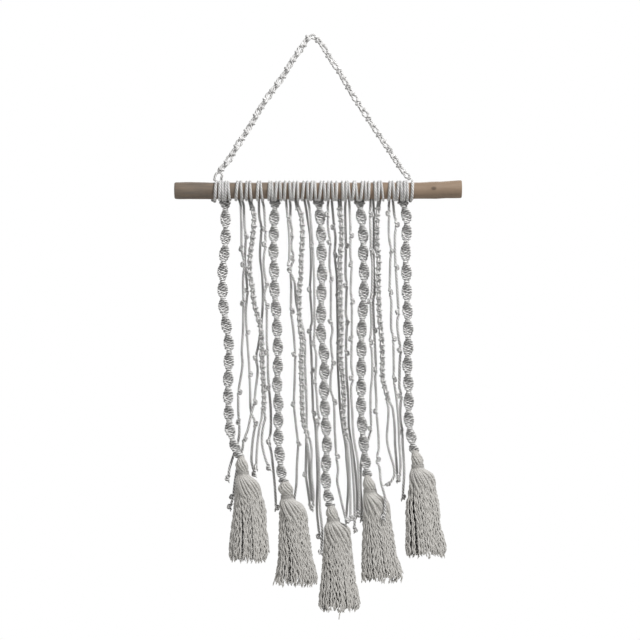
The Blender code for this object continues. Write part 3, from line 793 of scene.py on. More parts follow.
def larksHead(strands, left, right):
    middle = (left + right) / 2
    radius, bar = headLook["turnRadius"], headLook["barRadius"]
    halves = []
    for outward, x in ((-1, left), (1, right)):
        lean = leanOf(x, outward)
        tail = middle + headLook["tailApart"] * outward
        back = [aroundStick(middle + 0.5 * outward, 186, bar), aroundStick((middle + x) / 2, 205, bar - 0.6)]
        front = [aroundStick(x + share * lean, turn, radius + off) for turn, share, off in headLook["front"]]
        down = [aroundStick(0.6 * x + 0.4 * tail, 495, radius), aroundStick(tail, 535, radius)]
        halves.append(back + front + down + [onHanging(tail, radius, headLook["tailEnd"])])
    line = smoothLine(halves[0][::-1] + halves[1], headLook["ringGap"])
    # painted light: the turns on the stick get a lighter tone than the same cord below, for the light their
    # tops catch
    strands.lay(
        line, 1.0, lay=cordLook["lay"] * chance.uniform(0.95, 1.05), phase=anyTurn(), tone=anyTone(0.25),
        flatten=(headLook["wide"], headLook["thick"]),
    )


def makeHeading(name, turns):
    strands = Strands()
    for left, right in zip(turns[::2], turns[1::2]):
        larksHead(strands, left, right)
    return settle(strands.mesh("mounted_" + name, cottonCord), name)


def makeTie(name, x, tails):
    # the hanger's foot: one turn of cord, knotted behind, with its short knotted ends below
    strands = Strands()
    turn = [
        aroundStick(
            x + headLook["tieSlant"] * (d - 180), d,
            headLook["turnRadius"] + (headLook["tieOver"] if d > 420 else 0.0),
        )
        for d in headLook["tieDegrees"]
    ]
    strands.lay(
        smoothLine(turn, headLook["ringGap"]), 1.0, phase=anyTurn(), tone=anyTone(),
        flatten=(headLook["wide"], headLook["thick"]),
    )
    down = np.array([0.0, 0.0, -1.0])
    for shift, drop in tails:
        side = np.array([math.copysign(1.0, shift), 0.0, 0.0])
        centre = onHanging(x + shift, headLook["tieKnotDepth"], drop)
        knot = overhandKnot(centre, down, side, headLook["tieKnot"])
        start = [
            onHanging(x + share * shift, depth, rodDrop + below)
            for share, depth, below in headLook["tieStart"]
        ]
        strands.lay(
            smoothLine(start + list(knot[3:-2]), cordLook["ringGap"]), headLook["tieRadius"],
            phase=anyTurn(), tone=anyTone(),
        )
    return settle(strands.mesh("mounted_" + name, cottonCord), name)


for name, turns in headTurns.items():
    if name in headLook["tieTails"]:
        makeTie(name, turns[0], headLook["tieTails"][name])
    else:
        makeHeading(name, turns)
print("cords mounted on the stick:", len(headTurns))


cords = {
    # group and side: the drops of its knots, then its way down as drop, x and depth
    "a1_left": [
        [322, 346, 405.5, 541.5, 588, 674], (underRod, -108, 5), (286, -106.5, 4), (322, -106),
        (346, -102.5), (370, -104), (405.5, -103.5), (447, -104), (480, -106, 5), (500, -105, 6),
        (541.5, -111, 8), (569, -111.5, 9), (598, -110, 12), (612, -111, 15.5), (626, -114.5, 16.5),
        (640, -119.5, 15), (661, -125.5, 10), (678, -127, 9),
    ],
    "a1_right": [
        [303, 385.5, 450, 514, 590.5, 667], (underRod, -103.5, 12), (286, -102, 12.5), (303, -100.5),
        (340, -101.5), (386, -98), (416, -100), (450, -98.5, 12), (500, -95), (539, -93.5), (569, -92.5),
        (590.5, -86.5), (615, -89.5), (646, -91.5, 11), (658, -89, 10), (672, -84.5),
    ],
    "c1_left": [
        [290.5, 489.5, 557, 614, 703, 718], (underRod, -80, 12), (271, -79.5), (290.5, -76.5),
        (332, -78.5, 12.5), (362.5, -75), (398, -74, 14), (421, -75, 15.5), (447, -77.5), (470, -81, 14),
        (489.5, -84, 12), (508, -82, 11), (538.5, -85, 8), (557, -87, 6), (577, -92, 5), (600, -97),
        (616.5, -103, 9.5), (630, -105.5, 17.3), (645, -110.5, 18.1), (661, -114, 16.6), (676, -116.5, 15),
        (699, -119.5, 13), (722, -124.5, 12),
    ],
    "c1_right": [
        [292, 315, 376.5, 410, 480.5, 535.5, 618, 719], (underRod, -73.5, 5), (271, -71), (315, -70),
        (343, -72.5), (376.5, -69), (396, -71.5), (410, -68), (462, -67.5, 4), (490, -66, 6),
        (510, -66, 9.5), (535.5, -64.5, 12), (569, -62, 14), (600, -62), (618, -64, 12), (638, -60.5, 13),
        (676, -56.5, 12), (694.5, -55, 11), (723.5, -53.5, 10),
    ],
    "a2_left": [
        [275.5, 350, 465, 535, 668, 718], (underRod, -38.5, 5), (275.5, -35.5, 4), (309, -33),
        (342, -33.5, 2.1), (352, -34.5, 2.0), (363, -29, 3.5), (374, -25, 6), (389, -24, 12.5),
        (402, -23, 15), (425, -18, 16), (443, -12.5, 15), (465, -9.5, 13.5), (500, -9), (535, -7.5, 13),
        (569, -6.5), (600, -7, 14), (630, -7.5, 13), (668, -8, 12), (691.5, -5, 12.5), (722, -0.5, 13),
    ],
    "a2_right": [
        [300, 335.5, 417.5, 483.5, 560, 621, 712], (underRod, -31.5, 12), (278, -31.5), (300, -29),
        (317, -30.5), (335.5, -27.5), (352, -31), (378, -30.5), (417.5, -30.5, 11), (447, -27, 10),
        (483.5, -24.5, 8), (523, -25), (560, -26), (592, -23), (621, -20), (653, -21.5, 9),
        (684, -22.5, 15), (699, -24.5, 19), (716, -27),
    ],
    "c2_left": [
        [384, 448.5, 508, 575, 763], (underRod, -9.5, 12.5), (271, -6), (301.5, -1.5), (347, 0),
        (384, -1.5), (431, 1.5), (448.5, -1), (485, 0.5), (535, 2), (575, 3.5), (592, 6.5), (615, 8),
        (676, 10, 12), (707, 9), (730, 9.5), (767, 13.5),
    ],
    "c2_right": [
        [317, 466.5, 525.5, 586, 786], (underRod, -4, 5.5), (271, -1, 5), (309, 2), (355, 4.5),
        (400, 5.5, 4), (425, 5.5, 3), (440, 6, 3.5), (466.5, 5, 5), (485, 8), (525.5, 7), (546, 9),
        (566, 10), (586, 12), (600, 9), (646, 12), (699, 13), (722, 14), (753, 17, 4), (790, 15.5, 3),
    ],
    "a3_left": [
        [269, 312, 368, 433, 497, 557, 640, 738], (underRod, 25.5, 4), (269, 26, 3), (286, 26, 4),
        (312, 29), (347, 28.5), (368, 30.5), (416, 30.5), (433, 31), (447, 33), (462, 30.5), (497, 33),
        (516, 30.5), (538.5, 30.5), (557, 35), (600, 36.5), (640, 39), (661, 41.5, 2), (676, 40, 0),
        (699, 44.5, -3), (718, 49, -6), (742, 55, -8),
    ],
    "a3_right": [
        [288, 332, 396, 470, 738], (underRod, 32, 13), (266, 33.5), (288, 35.5, 13.5), (304, 37.5),
        (332, 36.5), (362.5, 39.5, 14), (396, 40), (450, 41), (494, 41), (539, 43), (570, 45), (600, 49),
        (623, 53), (646, 54.5, 13), (676, 57, 12), (700, 56.5), (722, 55, 14), (742, 53.5, 17),
    ],
    "c3_left": [
        [317, 378, 434.5, 482, 730], (underRod, 52.5, 12.5), (271, 52.5, 13), (317, 53.5), (362.5, 53),
        (378, 54.5), (424, 53.5), (434.5, 55), (462, 54), (500, 54), (523, 55), (554, 57.5), (592, 58),
        (607, 60, 12.5), (646, 66, 12), (676, 69.5), (707, 71), (734, 70.5),
    ],
    "c3_right": [
        [301.5, 346, 402.5, 460, 520, 727], (underRod, 58.5, 5.5), (286, 60.5, 5), (301.5, 60.5),
        (337, 60.5), (346, 62), (386, 61), (402.5, 62.5), (460, 62.5), (500, 62), (520, 63.5),
        (535.5, 61.5), (577, 63.5), (600, 64.5), (623, 67.5), (646, 71.5, 4), (676, 73.5), (707, 74),
        (731, 73, 3),
    ],
    "a4_left": [
        [269.5, 326, 402.5, 465, 597, 736], (underRod, 91.5, 4.5), (269.5, 90.5, 3.5), (301.5, 91.5, 3),
        (326, 92, 2.5), (343, 94, 4), (384, 93.5), (402.5, 91.5), (439, 92.5), (465, 91), (477, 93),
        (512, 94), (542, 91.5, 5), (569, 91.5, 8), (595, 92, 12), (612, 89, 16.5), (624, 84, 18),
        (640, 79, 17), (655, 76.5, 14), (691, 76, 13), (707, 77.5), (722, 78, 14), (740, 77, 15),
    ],
    "a4_right": [
        [387, 447, 507, 571, 644, 731], (underRod, 96, 12), (294, 96.5, 12.5), (343, 96), (387, 97.5),
        (401, 95.5), (447, 97), (477, 98.5), (507, 99.5), (519, 98.5), (554, 100.5, 12), (571, 100.5, 10),
        (607, 103.5, 8), (636, 103.5, 4), (644, 101.5, 2), (658, 105, -2), (676, 106.5, -7),
        (688.5, 109.5, -10), (702, 113, -11), (719, 112.5, -12), (735, 111.5, -13),
    ],
    "c4_left": [
        [268, 325, 388.5, 460, 522, 672], (underRod, 119, 5), (268, 119.5), (301.5, 119.5), (325, 122.5),
        (343, 121.5), (388.5, 121), (401, 123), (443.5, 123), (460, 126), (512, 127), (522, 127),
        (551, 131), (584, 134), (623, 135.5), (646, 137), (661, 137, 6), (676, 135),
    ],
    "c4_right": [
        [284.5, 350.5, 419, 477, 547, 603, 703], (underRod, 126, 12), (266, 127.5), (284.5, 130.5),
        (301.5, 129), (340, 129.5), (370, 131.5), (419, 134), (434.5, 132.5), (454, 134), (477, 137, 13),
        (505, 136), (538.5, 136), (547, 138), (578, 137), (603, 140), (627, 141, 12), (646, 142.5),
        (669, 143), (691.5, 141.5), (707, 141),
    ],
}


def filled(rows):
    # a row that gives no depth keeps the depth of the row before
    route = []
    for row in rows:
        route.append(row if len(row) == 3 else (*row, route[-1][2]))
    return route


for name, cord in cords.items():
    group, hand = name.split("_")
    x, depth = cord[1][1:]
    across = headLook["tailApart"] * (-1 if hand == "left" else 1)
    begin = downFromStick(sum(headTurns["heading_" + group]) / 2 + across, onHanging(x, depth, cordStart))
    makeCord("laid_cord_" + name, cord, begin, cordStart, "cord_" + name)
print("free cords laid:", len(cords))


spirals = {
    # node: (drop, x) where it faces the viewer; the first row is its start and the last its end
    "spiral_1": [
        (underRod, -132), (277, -131), (304, -131), (330.5, -133), (357, -135.5), (386, -135.5),
        (411.5, -134), (440.5, -129.5), (467.5, -126), (495, -126), (522.5, -127), (549, -127),
        (575.5, -126), (600, -124), (626.5, -116), (641, -109),
    ],
    "spiral_2": [
        (underRod, -55), (275.5, -56.5), (300.5, -57), (326.5, -57.5), (356.5, -56.5), (385.5, -56),
        (415.5, -53.5), (445, -52), (473.5, -51), (503.5, -51), (531, -52), (560, -50), (586, -50),
        (612, -50), (638, -48), (665.5, -45), (679.5, -41.5),
    ],
    "spiral_3": [
        (underRod, 11), (274, 14), (301.5, 15.5), (329, 16), (362.5, 17), (390, 16), (424, 15.5),
        (453, 15.5), (483.5, 20), (511, 20.5), (540, 20), (567.5, 21.5), (596.5, 23), (624, 24.5),
        (652, 23), (678, 23), (704, 27), (716, 29.5),
    ],
    "spiral_4": [
        (underRod, 74), (274, 77), (302, 80), (329.5, 80), (359, 81.5), (388, 81), (417, 79.5),
        (447.5, 77.5), (477.5, 77.5), (507, 77), (536.5, 77), (564, 77), (593, 78.5), (622.5, 81),
        (650, 84), (670, 86.5),
    ],
    "spiral_5": [
        (underRod, 140), (272, 146.5), (299, 146.5), (329, 145), (360, 146.5), (389.5, 147), (418.5, 148),
        (446, 149), (475, 149), (502.5, 148), (529, 149.5), (558, 150), (585, 150), (611.5, 154),
        (632, 158.5),
    ],
}


# Half-knot spirals: two working cords tied again and again round two still ones, so the row
# of knots turns by itself and shows a ladder of rungs between two rails

spiralLook = {
    "knotStep": 5.0,
    "halfWidth": 5.5,
    "halfThickness": 2.2,
    "workerRadius": 1.95,
    "fillerRadius": 2.1,
    "fillerApart": 1.6,
    "fillerStep": 4.0,
    "fillerGap": 2.4,
    "firstKnot": 251.5,
    "depth": 8.5,
    "endDepths": [7.6, 6.4, 5.2],
    "endShare": 0.72,      # the last knots are drawn in to this, over these distances from the end
    "endOver": (-9.0, 3.0),
    "topSpread": 0.18,     # the first knots lie wider, where the cords part to the stick
    "topOver": 9.0,
    "slack": 0.22,
    "ringGap": 1.5,
    "tails": [(2.6, 4.0), (1.6, 12.0)],   # half width and distance below the last knot
}


def halfKnot():
    # one working cord's way through one knot: across, width, and share of a knot's height down
    wide, thick = spiralLook["halfWidth"], spiralLook["halfThickness"]
    return [
        (wide - 0.8, -0.3, 0.30), (2.8, thick - 0.1, 0.16), (0.0, thick + 0.3, 0.02),
        (-2.8, thick, -0.10), (0.6 - wide, -0.4, -0.18), (-1.2 - wide, -0.6, -0.02),
        (-0.9 - wide, 1.2, 0.40), (-0.2 - wide, 2.7, 0.78),
    ]


def makeSpiral(name, rows, turns):
    ends = spiralLook["endDepths"]
    depths = [spiralLook["depth"]] * (len(rows) - len(ends)) + ends
    axis = routeCurve([(drop, turn, x, depths[turn]) for turn, (drop, x) in enumerate(rows)])
    start, finish = spiralLook["firstKnot"], rows[-1][0]
    knots = int((finish - start) / spiralLook["knotStep"])
    step = (finish - start) / knots
    endShare = spiralLook["endShare"]

    def twisted(u, v, drop):
        turn, x, depth = axis(drop)
        theta = math.pi * (turn - 1)
        share = endShare + (1 - endShare) * ramp(finish - drop, *spiralLook["endOver"])
        share += spiralLook["topSpread"] * (1 - ramp(drop - start, 0.0, spiralLook["topOver"]))
        u, v = u * share, v * share
        across = u * math.cos(theta) + v * math.sin(theta)
        return onHanging(x + across, depth + u * math.sin(theta) - v * math.cos(theta), drop)

    tails = []
    for left, right in zip(turns[::2], turns[1::2]):
        tails += [(left + right) / 2 + headLook["tailApart"] * outward for outward in (-1, 1)]
    strands = Strands()
    for sign, tail in ((1, tails[0]), (-1, tails[3])):
        points = []
        for knot in range(knots):
            flip = sign if knot % 2 == 0 else -sign
            slack = chance.uniform(-spiralLook["slack"], spiralLook["slack"], 3)
            for u, v, w in halfKnot():
                across = u + slack[0] * (abs(u) > 4)
                down = (knot + w + 0.3 * slack[2]) * step
                points.append(twisted(flip * across, flip * (v + slack[1]), start + down))
        points = downFromStick(tail, points[0]) + points
        points += [twisted(sign * half, 0.0, finish + below) for half, below in spiralLook["tails"]]
        strands.lay(
            smoothLine(points, spiralLook["ringGap"]), spiralLook["workerRadius"],
            phase=anyTurn(), tone=anyTone(0.15),
        )
    for sign, tail in ((1, tails[1]), (-1, tails[2])):
        drops = np.arange(start - 2.0, finish + spiralLook["tails"][-1][1], spiralLook["fillerStep"])
        points = [twisted(sign * spiralLook["fillerApart"], 0.0, drop) for drop in drops]
        points = downFromStick(tail, points[0]) + points
        strands.lay(
            smoothLine(points, spiralLook["fillerGap"]), spiralLook["fillerRadius"],
            phase=anyTurn(), tone=anyTone(),
        )
    return settle(strands.mesh("knotted_" + name, cottonCord), name)


for name, rows in spirals.items():
    makeSpiral(name, rows, headTurns["heading_" + name])
print("spirals tied:", len(spirals))


chains = {
    # group: the drop where its hitches end, its left cord's way down, which the chain follows,
    # and the right cord's way on from there, both written as in cords
    "b1": {
        "end": 575,
        "left": [
            [656], (underRod, -95.5, 8), (260, -90, 6.5), (271, -87, 6), (306, -89.5), (330, -93),
            (358, -94), (380, -90), (405.5, -87), (424, -82), (447, -76.5), (490, -75), (515.5, -73.5, 5.5),
            (546, -72, 5), (566, -72.5), (577, -74.5), (597, -79), (627, -82.5, 4), (660, -84, 3),
        ],
        "right": [
            [657], (571, -66.5, 6), (581, -70, 8), (603, -74.5, 9), (620, -75), (638, -71.5, 7),
            (650, -67.5, 6), (661, -62, 5),
        ],
    },
    "b2": {
        "end": 606,
        "left": [
            [718], (underRod, -23, 8), (259, -20.5, 6.5), (268, -15.5, 6), (300, -13), (336, -15),
            (364, -15.5), (386, -18), (416, -18), (440, -17), (467, -13.5), (485, -15), (536, -14),
            (559, -13.5), (584, -12), (600, -8), (612, -2.5), (630, 1, 5), (653, 0.5, 4), (676, 1.5),
            (699, 4), (722, 2.5),
        ],
        "right": [
            [], (615, -7, 6.5), (630, -4.5, 8), (650, -3.5), (676, -2), (699, 0), (708, 1),
        ],
    },
    "b3": {
        "end": 612,
        "left": [
            [734], (underRod, 44, 8), (266, 44.5, 6), (286, 46.5), (314, 46.5), (343, 44), (370, 45),
            (411, 45), (442, 46.5), (485, 45), (511, 47.5), (535.5, 50, 5.5), (561.5, 50.5), (574, 49),
            (604, 53), (616, 55, 5), (646, 58, 4), (676, 59.5), (707, 60.5), (738, 60.5, 3),
        ],
        "right": [
            [752], (618, 60, 7), (630, 61.5, 8), (646, 63, 7), (676, 65, 5), (707, 66.5, 4), (735, 67, 3),
            (756, 66.5),
        ],
    },
    "b4": {
        "end": 558,
        "left": [
            [682], (underRod, 104, 8), (263, 102.5, 6), (300, 101), (327.5, 102.5), (341, 104), (355, 103),
            (401, 104), (431.5, 105.5), (457.5, 108), (486.5, 109.5), (517, 109.5), (532.5, 112.5),
            (548, 117), (562, 118.5), (581, 118.5), (609, 116.5), (624, 118), (641, 122.5), (656, 127),
            (669, 127.5), (677, 124), (684, 115.5),
        ],
        "right": [
            [676], (562, 124.5, 6), (580, 127, 8), (600, 128.5, 10), (623, 129, 11), (646, 131, 12),
            (668.5, 132.5, 14), (680, 133),
        ],
    },
}


# Chains of half hitches: two cords take turns to hitch round each other

hitchLook = {
    "period": 9.0,
    "across": 0.72,
    "through": 0.85,
    "size": (0.93, 1.07),
    "width": 0.0094,       # metres over the whole chain
    "cordRadius": 1.9,
    "endApart": 1.8,
    # across, towards the viewer, down: the cord that ties, and the one that it ties round
    "tying": [
        (2.2, -0.2, 0.0), (3.0, -0.6, 1.0), (2.2, 0.6, 2.8), (0.4, 2.4, 4.0), (-2.4, 2.8, 4.6),
        (-4.6, 0.8, 4.8), (-4.0, -2.0, 4.4), (-1.6, -3.0, 3.4), (0.4, -1.8, 2.0), (0.8, 0.6, 0.8),
        (2.0, 3.4, 1.6), (3.6, 3.0, 3.4), (3.4, 1.2, 5.6), (2.4, 0.2, 7.6),
    ],
    "carrying": [(-1.8, -0.2, 0.0), (-1.4, -0.3, 4.5)],
}


def besideLine(line):
    # a function that gives the point at a length along a line, and across and in front of it
    along, ways = lengths(line), tangentsOf(line)
    toViewer = np.array([0.0, -1.0, 0.0])

    def at(mark, across=0.0, front=0.0):
        spot = np.array([np.interp(mark, along, line[:, k]) for k in range(3)])
        way = np.array([np.interp(mark, along, ways[:, k]) for k in range(3)])
        return spot + across * unit(np.cross(toViewer, way)) + front * toViewer

    return at, along[-1]


def hitch(lines, at, count, mark, size, across, through):
    # adds one hitch to the right and the left cord's points; they take turns to tie it
    tying = count % 2
    flip = 1 if tying == 0 else -1
    for way, points in ((tying, hitchLook["tying"]), (1 - tying, hitchLook["carrying"])):
        for u, v, w in points:
            lines[way].append(at(mark + w * size, flip * u * across, v * through))


def makeChain(group, chain, turns):
    name = "chain_" + group
    curve = routeCurve(filled(chain["left"][1:]))
    end = chain["end"]
    middle = sum(turns) / 2
    drops = np.arange(cordStart, end + 0.1, 5.0)
    line = smoothLine([onHanging(*curve(drop), drop) for drop in drops], 1.0)
    at, length = besideLine(line)
    count = int(length / hitchLook["period"])
    lines = [[], []]
    for knot in range(count):
        size = chance.uniform(*hitchLook["size"])
        across, through = hitchLook["across"] * size, hitchLook["through"] * size
        hitch(lines, at, knot, knot * length / count, size, across, through)
    apart = hitchLook["endApart"]
    strands = Strands()
    for points, outward in zip(lines, (1, -1)):
        points = downFromStick(middle + headLook["tailApart"] * outward, points[0]) + points
        points.append(at(length, apart * outward))
        strands.lay(
            smoothLine(points, cordLook["ringGap"]), hitchLook["cordRadius"], phase=anyTurn(), tone=anyTone()
        )
    piece = settle(strands.mesh("hitched_" + name, cottonCord), name)
    path = np.vstack([[onHanging(middle, cordLook["behind"][0][0], rodDrop)], line])
    declareCord(path, hitchLook["width"])
    for hand, outward, node in (("left", -1, name), ("right", 1, "chain_tail_" + group)):
        begin = [at(length - 2.0, (apart + 0.1) * outward), at(length, apart * outward)]
        makeCord(f"laid_{name}_{hand}", chain[hand], begin, end + cordLook["routeStep"], node)


for group, chain in chains.items():
    makeChain(group, chain, headTurns["heading_" + group])
print("chains hitched:", len(chains))


hanger = [
    # x, drop
    (-147.3, 216.3), (-146.2, 211.5), (-141.0, 205.0), (-134.0, 196.0), (-128.0, 189.5), (-121.5, 179.5),
    (-115.5, 169.0), (-109.0, 159.0), (-102.5, 149.0), (-96.0, 139.0), (-89.0, 128.0), (-82.0, 115.0),
    (-75.0, 103.5), (-68.0, 93.0), (-60.5, 82.5), (-52.0, 71.0), (-43.5, 59.5), (-35.0, 45.5),
    (-26.5, 31.5), (-19.0, 21.0), (-12.5, 12.0), (-6.5, 2.0), (0.0, -3.7), (7.0, 0.0), (15.5, 7.5),
    (22.0, 18.0), (28.0, 28.5), (36.5, 41.0), (45.5, 54.0), (53.0, 68.0), (61.0, 81.5), (68.0, 92.5),
    (75.0, 103.5), (81.5, 113.0), (87.5, 122.5), (94.5, 133.0), (101.5, 144.0), (110.0, 156.5),
    (118.5, 169.0), (126.5, 181.5), (134.5, 194.0), (141.5, 203.5), (148.5, 211.5), (151.8, 216.2),
]


# The hanger: two cords hitched every 12 or 13 mm, with a small eye left open at every other gap

hangerLook = {
    "cordRadius": 2.1,
    "across": 0.80,
    "through": 0.80,
    "knotSpan": 7.2,
    "feet": (15.5, 12.0),  # where the hitches begin and stop, from each end
    "gaps": (5.0, 9.5),    # between two hitches, in turn
    "gapSpread": (0.88, 1.12),
    "apart": (2.0, 3.5),   # how far each cord stands out in them, the second being an open eye
    "eyeSpread": (0.75, 1.1),
    "front": 0.2,
    # x, depth and drop of the open loop where the two cords part to meet the stick
    "foot": (
        [(-137.6, 11.0, 223.5), (-137.4, 4.0, 218.4), (-136.7, 0.6, 213.0), (-135.8, 0.0, 208.5)],
        [(-147.9, 1.0, 218.0), (-147.0, 0.0, 212.5), (-144.6, 0.0, 207.0)],
    ),
    "close": [(4.0, 1.7), (0.0, 0.9)],   # distance from the far end, and how far apart
    "tone": 0.65,
}


def makeHanger():
    at, length = besideLine(smoothLine([onHanging(x, 0.0, drop) for x, drop in hanger], 1.0))
    lines = [[onHanging(*point) for point in foot] for foot in hangerLook["foot"]]
    span, front = hangerLook["knotSpan"], hangerLook["front"]
    size = span / hitchLook["tying"][-1][2]
    mark, count = hangerLook["feet"][0], 0
    while mark + span < length - hangerLook["feet"][1]:
        hitch(lines, at, count, mark, size, hangerLook["across"], hangerLook["through"])
        gap = hangerLook["gaps"][count % 2] * chance.uniform(*hangerLook["gapSpread"])
        apart = hangerLook["apart"][count % 2]
        if count % 2 == 1:
            apart *= chance.uniform(*hangerLook["eyeSpread"])
        lines[0].append(at(mark + span + gap / 2, apart, front))
        lines[1].append(at(mark + span + gap / 2, -apart, -front))
        mark += span + gap
        count += 1
    strands = Strands()
    for points, outward in zip(lines, (1, -1)):
        points += [at(length - short, apart * outward) for short, apart in hangerLook["close"]]
        strands.lay(
            smoothLine(points, cordLook["ringGap"]), hangerLook["cordRadius"],
            phase=anyTurn(), tone=hangerLook["tone"],
        )
    return settle(strands.mesh("knotted_hanger", slackCord), "hanger")


makeHanger()
print("hanger knotted")


tassels = {
    # node: (drop, left edge, right edge); rows 2 and 3 are the top and bottom of the binding
    "tassel_1": [
        (642, -112.5, -101), (653, -115.5, -96.5), (662, -112.5, -96), (668, -112.5, -96),
        (679.5, -115, -84), (694.5, -116.5, -78), (719, -118, -69.5), (752.5, -122.5, -68),
        (783.5, -125.5, -65.5), (800, -124.5, -67),
    ],
    "tassel_2": [
        (681, -49, -30), (689, -51, -27), (699, -45.5, -27.5), (705, -45.5, -27.5),
        (713, -46.5, -16), (730, -48, -8), (760.5, -49, -2.5), (799, -50.5, 3),
        (829, -55, 10.5), (837, -54, 8),
    ],
    "tassel_3": [
        (717.5, 24, 38), (728, 23, 41), (734, 25, 43), (740, 25, 43),
        (748, 22, 55), (768, 20, 60.5), (791, 18.5, 63.5), (829, 15.5, 68.5),
        (864.5, 11.5, 75), (876, 13, 72),
    ],
    "tassel_4": [
        (671.5, 81, 92), (682.5, 79.5, 98), (690, 81, 99.5), (696, 81, 99.5),
        (707, 82, 114.5), (722, 80.5, 119), (751, 79.5, 125), (791, 78, 131),
        (824.5, 77.5, 140.5), (831, 79, 138),
    ],
    "tassel_5": [
        (633.5, 153, 166), (644, 154, 171.5), (652, 154.5, 172), (658, 154.5, 172),
        (668, 152.5, 184.5), (693, 150, 191.5), (717.5, 145.5, 196.5), (751, 145.5, 199),
        (776, 144.5, 206.5), (793, 145.5, 206),
    ],
}


# Tassels: a head of cords laid slantwise over the spiral's end, a binding and a skirt of wavy yarns

tasselLook = {
    "depth": 3.0,
    "mostHalfDepth": 13.0,
    "neckDepthShare": 0.9,
    "skirtDepthShare": 0.75,
    "headCords": 11,
    "headRadius": 1.9,
    "headStart": 3.0,       # how far above the tassel's top its cords begin
    "headShare": (0.35, 0.87),
    "headRound": 2.6,
    "headTwists": (1.6, 2.2, 1.4, 1.5, 1.6),   # the slant of each tassel's head, in radians
    "yarnLay": 13.0,
    "yarnStep": 3.2,
    "skirtTwist": 0.5,
    "rings": [
        # share of the skirt's half width, yarns, radius, gap between its rings of points
        (0.97, 54, 1.35, 2.4), (0.88, 38, 1.7, 3.2), (0.74, 22, 2.4, 4.5),
    ],
    "evenOut": 0.2,         # how far the yarns crowd to the wide front and back of the skirt
    "slants": 13,           # cords that keep their twist for a little below the binding
    "slantRadius": 1.9,
    "slantLength": (22.0, 44.0),
    "slantTurn": 0.8,
    "slantLay": 9.5,
    "strayRadius": 1.1,
    "strayTone": 0.6,
    "strays": [
        # for each tassel: x and drop of the tip, the drop where it leaves, its angle
        [(-62.0, 788.0, 745.0, 0.0)],
        [(12.0, 826.0, 795.0, 0.0), (-57.0, 838.0, 800.0, 3.1)],
        [(44.0, 888.0, 850.0, -1.4), (77.0, 866.0, 830.0, 0.0)],
        [(143.0, 820.0, 790.0, 0.0), (79.0, 834.0, 800.0, 3.0)],
        [(209.0, 778.0, 745.0, 0.0)],
    ],
    "neckShare": 0.60,      # how much a yarn is pressed together at the neck
    "pressOver": (4.0, 26.0),
    "looseOver": 30.0,
    "pinch": 0.20,          # and how far the binding draws all of them in, over this height
    "pinchOver": 6.0,
    "tipOver": (-3.85, 3.15),
    "sway": 0.07,
    "wave": (0.5, 1.2),
    "waveLength": (10.0, 18.0),
    "hem": (-8.0, 4.0),
    "wraps": 3.5,
    "wrapSteps": 16,
    "wrapProud": 0.3,
    "bindingRadius": 1.0,
    "bindingLay": 5.0,
    "bindingTone": 0.45,
}


def makeTassel(name, rows, twist, strays):
    table = []
    for row, (drop, left, right) in enumerate(rows):
        half = (right - left) / 2
        deep = half * (tasselLook["neckDepthShare"] if row < 4 else tasselLook["skirtDepthShare"])
        table.append((drop, (left + right) / 2, half, min(deep, tasselLook["mostHalfDepth"])))
    shape = routeCurve(table)
    top, hem = rows[0][0], rows[-1][0]
    neck = (rows[2][0] + rows[3][0]) / 2

    def around(angle, drop, share=1.0, grow=0.0):
        middle, halfWidth, halfDepth = shape(min(max(drop, top), hem))
        depth = tasselLook["depth"] + (halfDepth * share + grow) * math.sin(angle)
        return onHanging(middle + (halfWidth * share + grow) * math.cos(angle), depth, drop)

    def pinched(share, drop):
        near = math.exp(-(((drop - neck) / tasselLook["pinchOver"]) ** 2))
        return share * (1 - tasselLook["pinch"] * near)

    strands = Strands()
    narrow, broad = tasselLook["headShare"]
    count, begin = tasselLook["headCords"], top - tasselLook["headStart"]
    for i in range(count):
        start = math.tau * (i + chance.uniform(-0.15, 0.15)) / count
        points = []
        for t in np.linspace(0.0, 1.0, 9):
            drop = begin + (neck - begin) * t
            share = narrow + (broad - narrow) * math.sin(min(t * tasselLook["headRound"], math.pi / 2))
            points.append(around(start + twist * t, drop, pinched(share, drop)))
        strands.lay(smoothLine(points, 1.5), tasselLook["headRadius"], phase=anyTurn(), tone=anyTone())
    for share, yarns, radius, gap in tasselLook["rings"]:
        for i in range(yarns):
            angle = math.tau * (i + chance.uniform(-0.3, 0.3)) / yarns
            angle += tasselLook["evenOut"] * math.sin(2 * angle)
            layYarn(strands, lambda a, d: around(a, d, pinched(share, d)), angle, radius, gap, neck, hem)
    for i in range(tasselLook["slants"]):
        angle = -3.1 + 2.9 * (i + chance.uniform(-0.2, 0.2)) / tasselLook["slants"]
        long = chance.uniform(*tasselLook["slantLength"])
        points = []
        for t in np.linspace(0.0, 1.0, 8):
            drop = neck + long * t
            proud = tasselLook["slantRadius"] * min(1.0, 2 * t) * (1.0 - t * t)
            points.append(around(angle + tasselLook["slantTurn"] * t, drop, pinched(1.0, drop), proud))
        line = smoothLine(points, 1.1)
        thin = np.clip((1.05 - np.linspace(0.0, 1.0, len(line))) * 4.0, 0.3, 1.0)
        strands.lay(
            line, tasselLook["slantRadius"] * thin, lay=tasselLook["slantLay"],
            phase=anyTurn(), tone=anyTone(0.2),
        )
    for x, drop, fromDrop, angle in strays:
        points = [around(angle, d, 0.9) for d in np.linspace(neck, fromDrop, 5)]
        start = points[-1]
        tip = onHanging(x, start[1], drop)
        for t in (0.35, 0.7, 1.0):
            points.append(start * (1 - t) + tip * t + np.array([math.sin(5.0 * t) * 1.5, 0.0, 0.0]))
        strands.lay(
            smoothLine(points, 1.9), tasselLook["strayRadius"], section=yarnSection,
            lay=tasselLook["yarnLay"], tone=tasselLook["strayTone"],
        )
    return settle(strands.mesh("gathered_" + name, cottonYarn), name)


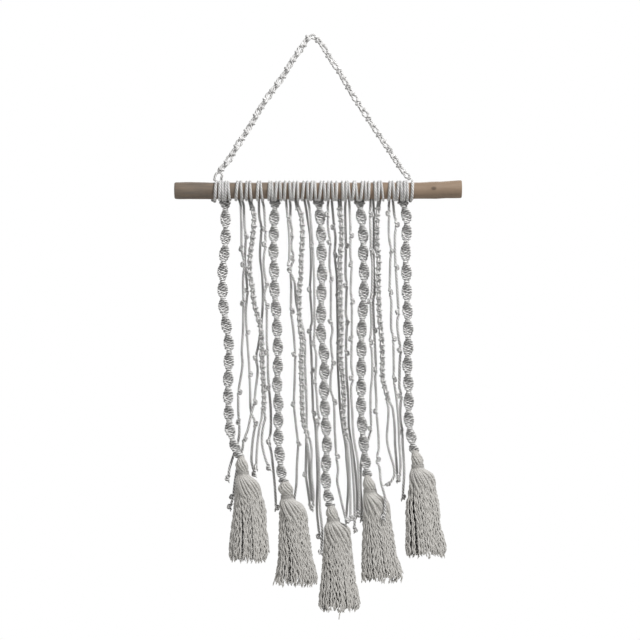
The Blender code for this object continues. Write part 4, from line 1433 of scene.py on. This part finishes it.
def layYarn(strands, at, angle, radius, gap, start, hem):
    end = hem + chance.uniform(*tasselLook["hem"])
    wave, length = chance.uniform(*tasselLook["wave"]), chance.uniform(*tasselLook["waveLength"])
    phase, sway = anyTurn(), chance.uniform(-tasselLook["sway"], tasselLook["sway"])
    points = []
    for drop in np.arange(start, end, tasselLook["yarnStep"]):
        t = (drop - start) / (hem - start)
        beat = math.tau * drop / length + phase
        loose = wave * min(1.0, (drop - start) / tasselLook["looseOver"])
        crimp = loose * np.array([math.sin(beat), math.cos(0.83 * beat + 1.0), 0.0])
        points.append(at(angle + tasselLook["skirtTwist"] * min(1.0, 1.6 * t) + sway * t, drop) + crimp)
    line = smoothLine(points, gap)
    along = np.linspace(0.0, len(line) * gap, len(line))
    press = tasselLook["neckShare"] + (1 - tasselLook["neckShare"]) * ramp(along, *tasselLook["pressOver"])
    taper = ramp(along[-1] - along, *tasselLook["tipOver"])
    strands.lay(
        line, radius * press * taper, section=yarnSection,
        lay=tasselLook["yarnLay"] * chance.uniform(0.85, 1.2), phase=anyTurn(), tone=anyTone(),
    )


def makeBinding(name, top, bottom):
    # a thin cord wound round the neck and tucked under itself
    strands = Strands()
    proud, steps = tasselLook["wrapProud"], tasselLook["wrapSteps"]
    middle, half = (top[1] + top[2]) / 2, (top[2] - top[1]) / 2
    points = []
    for step in range(int(tasselLook["wraps"] * steps) + 1):
        turn = math.tau * step / steps
        drop = top[0] + proud + (bottom[0] - top[0] - 2 * proud) * step / (tasselLook["wraps"] * steps)
        grow = half + proud + proud / 2 * math.sin(3.1 * turn)
        depth = tasselLook["depth"] + grow * tasselLook["neckDepthShare"] * math.sin(turn)
        points.append(onHanging(middle + grow * math.cos(turn), depth, drop))
    strands.lay(
        smoothLine(points, 1.3), tasselLook["bindingRadius"], lay=tasselLook["bindingLay"],
        phase=anyTurn(), tone=tasselLook["bindingTone"],
    )
    return settle(strands.mesh("wound_" + name, cottonYarn), name)


for (name, rows), twist, strays in zip(tassels.items(), tasselLook["headTwists"], tasselLook["strays"]):
    makeTassel(name, rows, twist, strays)
    makeBinding(name.replace("tassel", "binding"), rows[2], rows[3])
print("tassels gathered and bound:", len(tassels))
